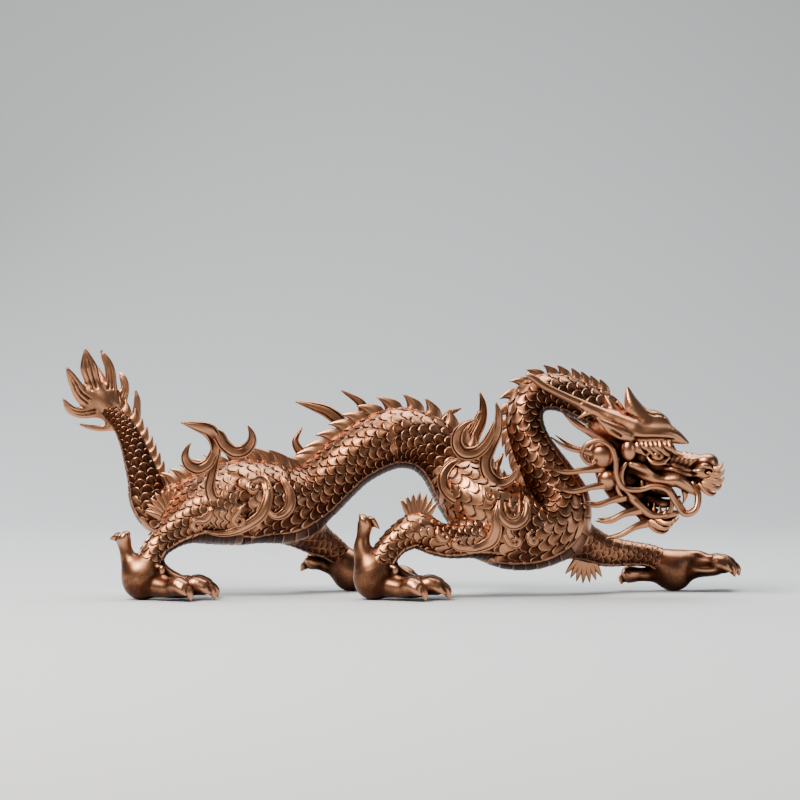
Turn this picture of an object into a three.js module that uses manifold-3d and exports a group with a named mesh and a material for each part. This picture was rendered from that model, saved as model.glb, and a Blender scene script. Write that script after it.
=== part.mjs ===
// A walking dragon, cast in one piece and patinated a warm copper brown.
// The serpent body rises in one arch, drops to a deep chest and climbs a swan neck to the head.
// It stands on four clawed feet, with no plinth. Its hips and shoulders carry flames, its tail a plume.
//
// Frame: millimetres. +X is the way the dragon walks, +Y its left side, +Z up.
// The origin is on the ground, under the middle of the casting's box.

import * as THREE from "three";
import { mergeVertices } from "three/addons/utils/BufferGeometryUtils.js";
import Module from "manifold-3d";

const wasm = await Module();
wasm.setup();

// Driving dimensions, in millimetres unless a name says otherwise.
const SPINE_COUNT = 42; // spines along the back, from the plume to the brow
const LIMB_SIDES = 7;
const TOE_SIDES = 5;
const BALL_SIDES = 8;
const BALL_RINGS = 0.65; // rings of a ball for each of its sides
const SPINE_HEIGHT = 8; // of the tallest spine, on the top of the arch
const SPINE_GIRTH = 17; // radius of the body where its spines are tallest
const SPINE_LEAST = 0.5; // height of the smallest spines, as a share of the tallest
const SPINE_VALLEY = 0.28; // height of the dip between two spines, as a share of their own
const SPINE_LEAN = 0.8; // how far a spine's tip is swept back towards the tail, as a share of its height
const HEEL_HALF = [12, 10.5, 11.2]; // half sizes of a foot's heel ball
const HEEL_HEIGHT = 10.4; // of the ball's middle, so that the ground trims a small flat under it
const FLOOR_CUT = 60; // depth of the block that trims the feet flat at the ground
const FLOOR_LENGTH = 600;
const FLOOR_WIDTH = 300;
const HEAD_PLACE = new THREE.Vector3(118, -3, 110); // back of the skull
const HEAD_YAW = THREE.MathUtils.degToRad(-8); // the head looks a little to the dragon's right
const BOX_MIDDLE = new THREE.Vector3(3.5, 0.9, 0); // middle of the box, which becomes the origin
const DEPTH = new THREE.Vector3(0, 1, 0);

// ---------------------------------------------------------------------------------------------
// Modelling tools: a bent, tapered bar and a scaled ball, and the step from geometry to solid.

// Smooth curve through the rows' points, and the same curve through their half sizes.
function curvesOf(rows) {
  const points = rows.map(([x, y, z]) => new THREE.Vector3(x, y, z));
  const sizes = rows.map(([, , , wide, thick = wide]) => new THREE.Vector3(wide, thick, 0));
  return {
    line: new THREE.CatmullRomCurve3(points, false, "catmullrom", 0.5),
    size: new THREE.CatmullRomCurve3(sizes, false, "catmullrom", 0.5),
  };
}

// Axes of a curve at t: along it, across it in the profile plane, and through that plane.
function axesAt(line, t, depth = DEPTH) {
  const along = line.getTangent(t);
  const across = new THREE.Vector3().crossVectors(along, depth).normalize();
  const through = new THREE.Vector3().crossVectors(across, along).normalize();
  return { along, across, through };
}

const LEAST_HALF = 0.25; // a bar never gets thinner than this, so that its tip stays a closed solid

// A bar whose rows are [x, y, z, half width in the profile plane, half thickness through it].
function bent(rows, sides, steps, depth = DEPTH) {
  const { line, size } = curvesOf(rows);
  const geometry = new THREE.CylinderGeometry(1, 1, 1, sides, steps);
  const position = geometry.getAttribute("position");
  for (let i = 0; i < position.count; i += 1) {
    const t = position.getY(i) + 0.5;
    const { across, through } = axesAt(line, t, depth);
    const half = size.getPoint(t);
    const point = line
      .getPoint(t)
      .addScaledVector(across, position.getX(i) * Math.max(half.x, LEAST_HALF))
      .addScaledVector(through, position.getZ(i) * Math.max(half.y, LEAST_HALF));
    position.setXYZ(i, point.x, point.y, point.z);
  }
  return geometry;
}

// An ellipsoid at a point, with half sizes along X, Y and Z.
function ball([x, y, z], [halfX, halfY, halfZ], sides = BALL_SIDES) {
  return new THREE.SphereGeometry(1, sides, Math.round(sides * BALL_RINGS))
    .rotateX(Math.PI / 2)
    .scale(halfX, halfY, halfZ)
    .translate(x, y, z);
}

// The same rows moved forward and up in the profile plane.
function shifted(rows, [forward, up]) {
  return rows.map(([x, y, z, ...rest]) => [x + forward, y, z + up, ...rest]);
}

// The same rows on the other side of the profile plane.
function mirrored(rows) {
  return rows.map(([x, y, ...rest]) => [x, -y, ...rest]);
}

function solidOf(geometry) {
  const bare = geometry.clone();
  bare.deleteAttribute("normal");
  bare.deleteAttribute("uv");
  const merged = mergeVertices(bare, 1e-4);
  return new wasm.Manifold(
    new wasm.Mesh({
      numProp: 3,
      vertProperties: new Float32Array(merged.getAttribute("position").array),
      triVerts: new Uint32Array(merged.index.array),
    }),
  );
}

// ---------------------------------------------------------------------------------------------
// Body: one tube from the plume to the skull. Rows are [x, y, z, radius].

const BODY = [
  [-176, 10, 111, 5],
  [-168, 8, 103, 5.9],
  [-162, 6, 92, 7],
  [-158, 4, 81, 8.2],
  [-154, 3, 69, 9.8],
  [-151, 2, 58, 11.8],
  [-143, 1, 50, 14.4],
  [-130, 0, 50, 17.6],
  [-113, 0, 53, 21.4],
  [-96, 0, 56, 24],
  [-79, 1, 56, 23.6],
  [-65, 3, 56, 21],
  [-52, 5, 61, 18.4],
  [-41, 6, 70, 16.9],
  [-29, 7, 81, 16.9],
  [-14, 7, 90, 17.5],
  [0, 7, 94, 18],
  [14, 6, 91, 17.4],
  [25, 4, 82, 16.4],
  [34, 2, 70, 16.4],
  [42, 0, 57, 18.2],
  [53, -1, 45, 21],
  [67, -2, 39, 23.2],
  [82, -3, 40, 23.6],
  [93, -3, 46, 21],
  [96, -3, 57, 17.8],
  [91, -3, 69, 15],
  [84, -3, 81, 13.2],
  [78, -2, 93, 11.6],
  [75, -1, 105, 11],
  [77, 0, 115, 10.8],
  [85, 0, 121, 10.8],
  [96, 0, 121, 10.8],
  [109, -1, 116, 11],
  [123, -2, 109, 11.5],
];

// Where the body's columns of vertices stand round its section, in degrees from the crest of the back.
// The first column carries the spines, and the two beside it are their foot.
const BODY_SECTION = [0, 9, 44, 80, 116, 152, 208, 244, 280, 316, 351];

// The body's tube has two rings of vertices for each spine: one at its tip and one at the dip behind it.
function body() {
  const { line, size } = curvesOf(BODY);
  const sides = BODY_SECTION.length;
  const rings = SPINE_COUNT * 2;
  const geometry = new THREE.CylinderGeometry(1, 1, 1, sides, rings);
  const position = geometry.getAttribute("position");
  for (let i = 0; i < position.count; i += 1) {
    const x = position.getX(i);
    const z = position.getZ(i);
    const ring = Math.round((position.getY(i) + 0.5) * rings);
    const t = line.getUtoTmapping(ring / rings);
    const point = line.getPoint(t);
    const isOnSkin = Math.hypot(x, z) > 0.5; // the other vertices are the middles of the tube's two ends
    if (isOnSkin) {
      const turn = Math.atan2(x, z) / (2 * Math.PI);
      const column = Math.round((turn + 1) * sides) % sides;
      const angle = THREE.MathUtils.degToRad(BODY_SECTION[column]);
      const radius = size.getPoint(t).x;
      const { along, across, through } = axesAt(line, t);
      const tall = SPINE_HEIGHT * THREE.MathUtils.clamp(radius / SPINE_GIRTH, SPINE_LEAST, 1);
      const isTip = ring % 2 === 1;
      const rise = column === 0 ? tall * (isTip ? 1 : SPINE_VALLEY) : 0;
      point.addScaledVector(across, radius * Math.cos(angle) + rise);
      point.addScaledVector(through, -radius * Math.sin(angle));
      if (column === 0 && isTip) {
        point.addScaledVector(along, -SPINE_LEAN * tall);
      }
    }
    position.setXYZ(i, point.x, point.y, point.z);
  }
  return geometry;
}

// ---------------------------------------------------------------------------------------------
// Tail plume: webbed blades that fan from the tail's tip. Rows are [x, y, z, width, thickness].

const PLUME_ROOT = [-174, 10, 110];
const PLUME_BLADES = [
  [[-183, 10, 118], [-188, 9, 134], [-190, 8, 149], 6],
  [[-176, 11, 119], [-175, 12, 133], [-181, 12, 147], 4.6],
  [[-170, 12, 114], [-167, 13, 124], [-170, 14, 134], 3.8],
  [[-162, 10, 102], [-159, 10, 113], [-160, 10, 122], 3],
  [[-187, 9, 117], [-197, 7, 126], [-201, 5, 136], 4.6],
  [[-187, 9, 110], [-197, 7, 111], [-203, 5, 117], 3.8],
  [[-180, 9, 103], [-187, 8, 101], [-195, 7, 103], 3],
  [[-183, 15, 113], [-191, 19, 119], [-196, 21, 128], 3.6],
  [[-178, 16, 118], [-181, 20, 129], [-186, 22, 139], 3.8],
];

// A blade's width at its root and middle, as shares of its widest, and its half thickness along it.
const BLADE_ROOT = 0.8;
const BLADE_MIDDLE = 0.75;
const BLADE_THICKNESS = [2.6, 2.3, 1.8];
const BLADE_TIP = [0.3, 0.4];
const PLUME_PALM = { at: [-182, 10, 116], half: [9, 4.6, 9] }; // the web that the blades spring from

function plume() {
  const blades = PLUME_BLADES.map(([shoulder, middle, tip, width]) =>
    bent(
      [
        [...PLUME_ROOT, width * BLADE_ROOT, BLADE_THICKNESS[0]],
        [...shoulder, width, BLADE_THICKNESS[1]],
        [...middle, width * BLADE_MIDDLE, BLADE_THICKNESS[2]],
        [...tip, ...BLADE_TIP],
      ],
      4,
      4,
    ),
  );
  return [...blades, ball(PLUME_PALM.at, PLUME_PALM.half, 6)];
}

// ---------------------------------------------------------------------------------------------
// Legs: shoulder or hip to ankle, [x, y, z, radius]. The right legs are towards -Y.

const LEGS = {
  rearRight: [
    [-98, -8, 54, 21],
    [-116, -14, 50, 17],
    [-129, -21, 43, 12],
    [-138, -26, 36, 8.8],
    [-144, -30, 29, 7.6],
    [-149, -32, 16, 8.5],
  ],
  foreRight: [
    [62, -8, 40, 17],
    [46, -16, 37, 13.5],
    [32, -23, 34, 10.6],
    [22, -28, 35, 9.8],
    [11, -30, 40, 10.8],
    [2, -31, 37, 9.2],
    [-6, -32, 30, 8],
    [-15, -32, 16, 9],
  ],
  foreLeft: [
    [94, 6, 40, 16],
    [111, 16, 31, 11.5],
    [125, 24, 25, 9.4],
    [141, 31, 23, 7.4],
    [154, 35, 21, 7],
    [168, 37, 14, 8],
  ],
  rearLeft: [
    [-70, 8, 52, 19],
    [-61, 17, 42, 15],
    [-52, 25, 33, 10.4],
    [-43, 31, 27, 8],
    [-36, 35, 21, 7.2],
    [-30, 36, 13, 8],
  ],
};

function legs() {
  return Object.values(LEGS).map((rows) => bent(rows, LIMB_SIDES, rows.length));
}

// Shoulders: the muscle that rises above each foreleg and carries the shoulder flames.
const SHOULDERS = [
  [[46, -9, 55], [23, 17, 24]],
  [[48, 9, 58], [22, 16, 26]],
];

function shoulders() {
  return SHOULDERS.map(([centre, half]) => ball(centre, half));
}

// Combs of spikes on the elbows and hocks: flat fans cut from a plate.
const COMBS = [
  { at: [10, -29, 40], degrees: 86 },
  { at: [113, 18, 29], degrees: -95 },
  { at: [-132, -15, 43], degrees: 125 },
  { at: [-56, 27, 36], degrees: 130 },
];
const COMB_SPIKES = 5;
const COMB_ROOT = 13; // radius of the circle that the spikes stand on
const COMB_LENGTH = 23; // from the circle's middle to the tip of the longest spike
const COMB_FAN = 1.15; // radians from the first spike to the last
const COMB_FALL = 3; // how much shorter a spike is for each radian that it stands from the middle
const COMB_THICKNESS = 3.6;

function comb({ at, degrees }) {
  const on = (radius, angle) => [Math.cos(angle) * radius, Math.sin(angle) * radius];
  const step = COMB_FAN / (COMB_SPIKES - 1);
  const first = (COMB_FAN + step) / 2;
  const outline = new THREE.Shape();
  outline.moveTo(0, 0);
  outline.lineTo(...on(COMB_ROOT, -first));
  for (let i = 0; i < COMB_SPIKES; i += 1) {
    const angle = (i + 0.5) * step - first;
    outline.lineTo(...on(COMB_LENGTH - COMB_FALL * Math.abs(angle), angle));
    outline.lineTo(...on(COMB_ROOT, angle + step / 2));
  }
  outline.lineTo(0, 0);
  return new THREE.ExtrudeGeometry(outline, { depth: COMB_THICKNESS, bevelEnabled: false })
    .translate(0, 0, -COMB_THICKNESS / 2)
    .rotateZ(THREE.MathUtils.degToRad(degrees))
    .rotateX(Math.PI / 2)
    .translate(...at);
}

// ---------------------------------------------------------------------------------------------
// Feet: a heel ball, an instep, three knuckled toes that end in hooked claws, and a spur on the heel.
// Toes are given by their angles and lengths from the heel, and raised above the ground by lift.
// Spurs are rows like a leg's: [x, y, z, radius] from the heel to the tip of the spur's claw.

const FEET = [
  {
    at: [-151, -32],
    lift: 0,
    toes: [[-0.56, 37], [-0.16, 44], [0.2, 45]],
    spur: [
      [-153, -32, 14, 10],
      [-157, -32, 24, 6.6],
      [-160, -32, 31, 4.6],
      [-161, -32, 38, 5.2],
      [-164, -32, 40, 3],
      [-169, -32, 38, 0.5],
    ],
  },
  {
    at: [-15, -32],
    lift: 0,
    toes: [[-0.56, 38], [-0.16, 45], [0.2, 46]],
    spur: [
      [-17, -32, 18, 10],
      [-22, -32, 30, 6.4],
      [-22, -32, 40, 4.2],
      [-21, -32, 47, 4.8],
      [-18, -32, 49, 3],
      [-13, -32, 44, 0.5],
    ],
  },
  {
    at: [168, 37],
    lift: 8,
    toes: [[-0.2, 38], [0.08, 42], [0.36, 41]],
    spur: [
      [164, 37, 11, 7],
      [154, 37, 10, 4.6],
      [147, 37, 10, 4.4],
      [141, 37, 10, 5.4],
      [137, 37, 8, 3.4],
      [136, 37, 4, 0.5],
    ],
  },
  {
    at: [-30, 36],
    lift: 1,
    toes: [[-0.2, 41], [0.12, 43], [0.46, 38]],
    spur: [
      [-34, 36, 13, 7],
      [-43, 36, 15, 4.8],
      [-49, 36, 17, 4.4],
      [-54, 36, 18, 5],
      [-58, 36, 16, 3],
      [-61, 36, 12, 0.5],
    ],
  },
];

// The instep's rows: forward from the heel, height, half height, half width, and its share of the lift.
const INSTEP = [
  [-2, 16, 9, 9, 0],
  [9, 12.5, 8.5, 10, 0.5],
  [24, 8, 5.5, 11, 1],
];
// A toe's rows: share of its length, height and radius. It swells at the knuckle and hooks to the claw.
const TOE = [
  [0.15, 9, 7],
  [0.48, 7, 5.8],
  [0.72, 8.4, 5.9],
  [0.84, 7.4, 5],
  [0.94, 4.4, 3.4],
  [1, 0.6, 0.6],
];
const LIFTED_FROM = 1 / 3; // a raised toe has its full lift from this share of its length on

function foot({ at, lift, toes, spur }) {
  const instep = INSTEP.map(([x, z, high, wide, share]) => [x, 0, z + lift * share, high, wide]);
  const pieces = [ball([0, 0, HEEL_HEIGHT], HEEL_HALF), bent(instep, 6, 2)];
  for (const [turn, length] of toes) {
    const rows = TOE.map(([share, z, radius]) => [
      length * share * Math.cos(turn),
      length * share * Math.sin(turn),
      z + lift * Math.min(1, share / LIFTED_FROM),
      radius,
    ]);
    pieces.push(bent(rows, TOE_SIDES, 4));
  }
  const set = pieces.map((piece) => piece.translate(...at, 0));
  return [...set, bent(spur, 5, 5)];
}

// ---------------------------------------------------------------------------------------------
// Flames on the hips and shoulders: curled ribbons, [x, y, z, half width, half thickness].

const HIP_FLAME = [
  [
    [-86, -17, 64, 1.9, 1.8],
    [-98, -24, 59, 3.8, 2.1],
    [-107, -27, 56, 4.8, 2.3],
    [-113, -28, 61, 5, 2.3],
    [-111, -28, 71, 3.4, 2.1],
    [-108, -28, 80, 3.1, 2.1],
    [-108, -29, 89, 5.3, 2.3],
    [-113, -31, 97, 5.5, 2.3],
    [-120, -33, 101, 3.1, 1.8],
    [-127, -34, 103, 0.5, 0.6],
  ],
  [
    [-111, -30, 93, 3.6, 1.8],
    [-105, -30, 87, 3.6, 2.1],
    [-97, -30, 84, 3.8, 2.1],
    [-90, -30, 88, 3.6, 1.8],
    [-88, -31, 95, 2.2, 1.6],
    [-91, -32, 102, 0.5, 0.6],
  ],
  [
    [-108, -29, 86, 3.1, 2.1],
    [-112, -29, 79, 3.4, 2.1],
    [-119, -30, 75, 3.8, 2.1],
    [-125, -31, 78, 3.4, 1.8],
    [-126, -32, 84, 1.9, 1.5],
    [-123, -33, 90, 0.5, 0.6],
  ],
];

const SHOULDER_FLAME = [
  [
    [57, -22, 116, 0.5, 0.6],
    [60, -22, 108, 2.4, 1.6],
    [60, -21, 98, 3.6, 2.1],
    [55, -20, 88, 3.6, 2.1],
    [51, -20, 78, 3.6, 2.3],
    [53, -20, 69, 3.8, 2.3],
    [60, -20, 65, 4.1, 2.1],
    [67, -21, 69, 3.1, 1.8],
    [72, -22, 78, 0.5, 0.6],
  ],
  [
    [58, -21, 96, 3.4, 2.1],
    [52, -21, 87, 3.8, 2.1],
    [42, -21, 83, 4.3, 2.3],
    [34, -22, 88, 3.8, 2.1],
    [35, -23, 97, 3.1, 1.8],
    [46, -24, 106, 0.5, 0.6],
  ],
  [
    [62, -18, 58, 2.4, 2.3],
    [52, -21, 58, 3.1, 2.3],
    [39, -22, 56, 4.3, 2.3],
    [29, -20, 60, 4.8, 2.3],
    [27, -18, 68, 4.3, 2.3],
    [33, -17, 77, 2.9, 1.8],
    [42, -18, 82, 0.6, 0.8],
  ],
];

// The left hip is further forward, so its flame shows behind the rise of the arch.
const LEFT_HIP_FLAME = [
  [
    [-68, 18, 60, 3.6, 2.2],
    [-54, 25, 74, 4.2, 2.3],
    [-40, 30, 88, 4.3, 2.3],
    [-33, 32, 102, 4.8, 2.3],
    [-43, 33, 110, 4.3, 2.1],
    [-63, 34, 116, 0.5, 0.6],
  ],
  [
    [-36, 31, 95, 3.6, 2.1],
    [-24, 32, 104, 4.1, 2.1],
    [-22, 33, 116, 3.6, 2.1],
    [-36, 34, 123, 0.5, 0.6],
  ],
  [
    [-46, 28, 82, 3.4, 2.1],
    [-58, 30, 84, 3.6, 2.1],
    [-64, 31, 92, 2.2, 1.6],
    [-60, 32, 100, 0.5, 0.6],
  ],
];

const LEFT_SHOULDER_SHIFT = [-8, 6]; // the left shoulder's flame stands a little further back and higher

function flames() {
  const left = SHOULDER_FLAME.map((rows) => mirrored(shifted(rows, LEFT_SHOULDER_SHIFT)));
  return [...HIP_FLAME, ...SHOULDER_FLAME, ...LEFT_HIP_FLAME, ...left].map((rows) =>
    bent(rows, 4, rows.length - 1),
  );
}

// ---------------------------------------------------------------------------------------------
// Head, in its own frame: origin at the back of the skull, +X level and forwards, +Z up.
// A row that is one of a pair is written for the left side, at +Y.

const HEAD_BALLS = [
  [[22, 0, -17], [20, 14, 14]], // skull
  [[9, 0, -8], [16, 12, 10]], // crown, between the horns
  [[30.5, 0, -10], [14, 10.5, 11.6]], // forehead
  [[13, 0, -32], [15, 14, 18]], // throat and jaw hinge
  [[67, 0, -30], [6.5, 8, 6.5]], // nose
];

const HEAD_PAIR_BALLS = [
  [[5, 12, -25], [9, 7, 9]], // cheek lobe
  [[7, 10, -40], [6.5, 6, 6.5]], // jaw lobe
  [[19, 14, -21], [5, 4, 6]], // cheek bone
  [[36, 9, -27], [5, 4, 4]], // eye
];

const HEAD_BARS = [
  // Snout.
  {
    rows: [
      [28, 0, -27, 13, 12],
      [42, 0, -32, 9.5, 10],
      [54, 0, -34, 9, 10],
      [67, 0, -37, 8.5, 8],
    ],
    sides: 8,
  },
  // Jaw.
  {
    rows: [
      [13, 0, -46, 9, 11],
      [24, 0, -55, 7, 9],
      [33, 0, -63, 6, 8],
      [48, 0, -63, 2, 5],
    ],
    sides: 7,
  },
  // Tongue.
  {
    rows: [
      [24, 0, -46, 4, 5],
      [36, 0, -54, 2.6, 5],
      [45, 0, -54, 1.2, 3],
    ],
    sides: 4,
  },
];

const HEAD_PAIR_BARS = [
  // Horn.
  {
    rows: [
      [18, 8, -8, 5.4],
      [2, 9.5, -0.5, 3.6],
      [-18, 12.5, 9, 2.5],
      [-30, 15, 15, 2.3],
      [-40, 17, 22, 1.8],
    ],
    sides: 5,
  },
  // Horn's prong.
  {
    rows: [
      [-2, 10, 1, 2.4],
      [-6, 12, -1, 1.8],
      [-11, 13, -4, 0.4],
    ],
    sides: 4,
  },
  // Rear point of the crest.
  {
    rows: [
      [13, 6, -4, 4.4],
      [9, 7, 3, 2.8],
      [5, 7, 10, 0.4],
    ],
    sides: 4,
  },
  // Front point of the crest.
  {
    rows: [
      [28, 6, -6, 6.4],
      [21, 7, 4, 4.6],
      [18, 7, 15, 0.4],
    ],
    sides: 4,
  },
  // Brow.
  {
    rows: [
      [18, 10, -12, 4.6],
      [31, 10.6, -13.5, 5.4],
      [43, 9, -14.4, 4.4],
      [54, 8, -18.5, 0.4],
    ],
    sides: 4,
  },
  // Ear.
  {
    rows: [
      [20, 13, -15, 6, 3],
      [10, 17, -9, 4.6, 2],
      [1, 20, -3, 0.4, 0.4],
    ],
    sides: 4,
  },
  // Upper lip.
  {
    rows: [
      [22, 10, -32, 4],
      [36, 10, -38, 4],
      [48, 9, -41, 4.6],
      [54, 7, -47, 3],
    ],
    sides: 5,
  },
  // Upper nose tuft.
  {
    rows: [
      [66, 5, -34, 4.4],
      [71, 6, -34, 2.8],
      [75.5, 7, -33, 0.4],
    ],
    sides: 4,
  },
  // Lower nose tuft.
  {
    rows: [
      [64, 5, -40, 5],
      [70, 7, -44, 3],
      [70, 8, -51, 0.4],
    ],
    sides: 4,
  },
  // Chin tuft.
  {
    rows: [
      [32, 6, -65, 4],
      [41, 8, -68, 2.4],
      [48, 9, -68, 0.4],
    ],
    sides: 4,
  },
];

// Mane: stiff locks that sweep back from the cheeks, jaw and chin. Each is [root, middle, tip, half width].
const MANE = [
  [[4, 11, -18], [-10.5, 16, -7], [-20, 18, 1], 2],
  [[-1, 14, -26], [-14, 19, -21], [-26.5, 22, -14.5], 1.7],
  [[3, 14, -33.5], [-14, 20, -34], [-30.5, 24, -32.5], 1.8],
  [[5, 13, -43], [-10, 19, -44.5], [-24.5, 23, -44.5], 1.8],
  [[17, 9, -50.5], [6, 15, -53], [-8, 19, -54.5], 2],
  [[27, 7, -58], [13.5, 12, -61], [0, 15, -64.5], 2.2],
  [[30, 5, -66], [19, 9, -70], [6.5, 12, -75], 2],
];

const LOCK_ROOT = 1.2; // a lock's half width at its root, as a share of its middle's
const LOCK_TIP = 0.4;
const WHISKER_STEPS = 15;
const WHISKER = [
  [57, 6, -42, 2],
  [60, 8, -50, 2],
  [58.5, 11, -58, 1.9],
  [52, 12, -60, 1.9],
  [47, 12, -53, 1.9],
  [42, 13, -46, 1.8],
  [34, 13, -44, 1.8],
  [25, 14, -46, 1.7],
  [16, 16, -44.5, 1.7],
  [12.5, 18, -37, 1.6],
  [12, 18.5, -28, 1.6],
  [9, 19, -20.5, 1.5],
  [2, 19, -17, 1.4],
  [-5, 19, -19, 1.4],
  [-8, 19, -25, 1.3],
  [-4.5, 19, -30, 1.3],
  [-0.5, 17, -29, 1.6],
];

function head() {
  const pieces = [];
  for (const [centre, half] of HEAD_BALLS) {
    pieces.push(ball(centre, half));
  }
  for (const [centre, half] of HEAD_PAIR_BALLS) {
    pieces.push(ball(centre, half, 6));
    pieces.push(ball([centre[0], -centre[1], centre[2]], half, 6));
  }
  for (const { rows, sides } of HEAD_BARS) {
    pieces.push(bent(rows, sides, rows.length));
  }
  const locks = MANE.map(([root, middle, tip, half]) => ({
    rows: [
      [...root, half * LOCK_ROOT],
      [...middle, half],
      [...tip, LOCK_TIP],
    ],
    sides: 4,
  }));
  for (const { rows, sides } of [...HEAD_PAIR_BARS, ...locks]) {
    pieces.push(bent(rows, sides, rows.length - 1));
    pieces.push(bent(mirrored(rows), sides, rows.length - 1));
  }
  pieces.push(bent(WHISKER, 4, WHISKER_STEPS));
  pieces.push(bent(mirrored(WHISKER), 4, WHISKER_STEPS));
  const place = new THREE.Matrix4()
    .makeTranslation(...HEAD_PLACE)
    .multiply(new THREE.Matrix4().makeRotationZ(HEAD_YAW));
  return pieces.map((piece) => piece.applyMatrix4(place));
}

// ---------------------------------------------------------------------------------------------
// The casting: everything joined, then trimmed flat where the feet meet the ground.

const pieces = [
  body(),
  ...plume(),
  ...legs(),
  ...shoulders(),
  ...COMBS.map(comb),
  ...FEET.flatMap(foot),
  ...flames(),
  ...head(),
].map(solidOf);
const block = new THREE.BoxGeometry(FLOOR_LENGTH, FLOOR_WIDTH, FLOOR_CUT);
const ground = solidOf(block.translate(0, 0, -FLOOR_CUT / 2));
const casting = wasm.Manifold.union(pieces)
  .subtract(ground)
  .translate(-BOX_MIDDLE.x, -BOX_MIDDLE.y, -BOX_MIDDLE.z);

function geometryOf(solid) {
  const { numProp, numVert, vertProperties, triVerts } = solid.getMesh();
  const position = new Float32Array(numVert * 3);
  for (let i = 0; i < numVert; i += 1) {
    position.set(vertProperties.subarray(i * numProp, i * numProp + 3), i * 3);
  }
  const geometry = new THREE.BufferGeometry();
  geometry.setAttribute("position", new THREE.BufferAttribute(position, 3));
  geometry.setIndex(new THREE.BufferAttribute(triVerts, 1));
  geometry.computeVertexNormals();
  return geometry;
}

const copper = new THREE.MeshStandardMaterial({ color: 0x9c6440, metalness: 1, roughness: 0.38 });
const dragon = new THREE.Mesh(geometryOf(casting), copper);
dragon.name = "dragon";

const group = new THREE.Group();
group.add(dragon);

export default group;
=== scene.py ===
import math

import bpy
import numpy as np
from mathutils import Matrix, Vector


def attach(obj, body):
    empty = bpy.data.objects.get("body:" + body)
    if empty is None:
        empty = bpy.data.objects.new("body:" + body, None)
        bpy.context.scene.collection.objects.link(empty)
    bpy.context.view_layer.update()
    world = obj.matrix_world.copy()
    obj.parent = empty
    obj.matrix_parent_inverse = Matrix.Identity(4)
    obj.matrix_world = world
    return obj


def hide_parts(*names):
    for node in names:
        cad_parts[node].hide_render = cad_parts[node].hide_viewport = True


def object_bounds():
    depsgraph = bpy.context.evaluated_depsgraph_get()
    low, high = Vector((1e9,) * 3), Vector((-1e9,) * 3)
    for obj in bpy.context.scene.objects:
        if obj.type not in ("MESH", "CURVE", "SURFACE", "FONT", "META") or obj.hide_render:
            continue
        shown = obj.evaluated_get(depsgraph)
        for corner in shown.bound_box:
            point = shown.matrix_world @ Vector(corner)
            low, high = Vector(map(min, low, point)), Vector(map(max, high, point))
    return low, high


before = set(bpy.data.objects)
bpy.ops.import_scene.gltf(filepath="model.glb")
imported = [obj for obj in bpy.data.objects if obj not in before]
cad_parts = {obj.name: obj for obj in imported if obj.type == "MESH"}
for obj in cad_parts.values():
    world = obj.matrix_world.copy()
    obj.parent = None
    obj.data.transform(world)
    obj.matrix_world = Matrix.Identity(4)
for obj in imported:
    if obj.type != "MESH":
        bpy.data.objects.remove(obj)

cad_low, cad_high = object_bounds()

# ---------------------------------------------------------------------------------------------
# Studio: a pale paper floor that curves up behind, soft lights and a long lens held level.
# The casting stands in the middle, and the lens is a little over three quarters of its height up.

LENS_MM = 112.5
LENS_AWAY = 1.5  # metres in front of the casting's middle
LENS_ASIDE = 0.0035  # metres towards the tail
LENS_HEIGHT = 0.786  # as a share of the casting's height

ground = cad_low.z
middle = (cad_low + cad_high) / 2
length = cad_high.x - cad_low.x
height = cad_high.z - cad_low.z

camera_data = bpy.data.cameras.new("camera")
camera_data.sensor_width = 36
camera_data.lens = LENS_MM
camera_data.clip_end = 20
camera = bpy.data.objects.new("camera", camera_data)
camera.location = (middle.x - LENS_ASIDE, middle.y - LENS_AWAY, ground + LENS_HEIGHT * height)
camera.rotation_euler = (math.radians(90), 0, 0)
bpy.context.collection.objects.link(camera)
bpy.context.scene.camera = camera


def linear(hex_colour):
    """An sRGB hex colour as the linear RGBA that the shaders use."""
    srgb = [int(hex_colour[i:i + 2], 16) / 255 for i in (1, 3, 5)]
    return [c / 12.92 if c <= 0.04045 else ((c + 0.055) / 1.055) ** 2.4 for c in srgb] + [1.0]


def shader(tree, kind, inputs=None, **settings):
    """Adds a node with its settings; each input is a value, or an output to link from."""
    made = tree.nodes.new(kind)
    for key, value in settings.items():
        setattr(made, key, value)
    for key, value in (inputs or {}).items():
        if isinstance(value, bpy.types.NodeSocket):
            tree.links.new(value, made.inputs[key])
        else:
            made.inputs[key].default_value = value
    return made


# Matt coated paper from a roll: its fibre gives an even, faintly mottled tone with no shine.
FIBRES_ACROSS = 900  # fibres over the sheet's width, about 9 mm each: drawn coarse enough to show
FIBRE_CONTRAST = 0.03

paper = bpy.data.materials.new("matt_backdrop_paper")
paper.use_nodes = True
tree = paper.node_tree
surface = tree.nodes["Principled BSDF"]
fibre = shader(tree, "ShaderNodeTexNoise", {"Scale": FIBRES_ACROSS, "Detail": 2.0})
tint = shader(tree, "ShaderNodeMapRange", {"Value": fibre.outputs["Fac"], "To Min": 1 - FIBRE_CONTRAST,
                                           "To Max": 1.0})
shade = shader(tree, "ShaderNodeMix", {"Factor": tint.outputs["Result"], "A": linear("#b9bfc4"),
                                       "B": linear("#d3d8dc")}, data_type="RGBA")
tree.links.new(shade.outputs["Result"], surface.inputs["Base Color"])
surface.inputs["Roughness"].default_value = 0.85

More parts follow.
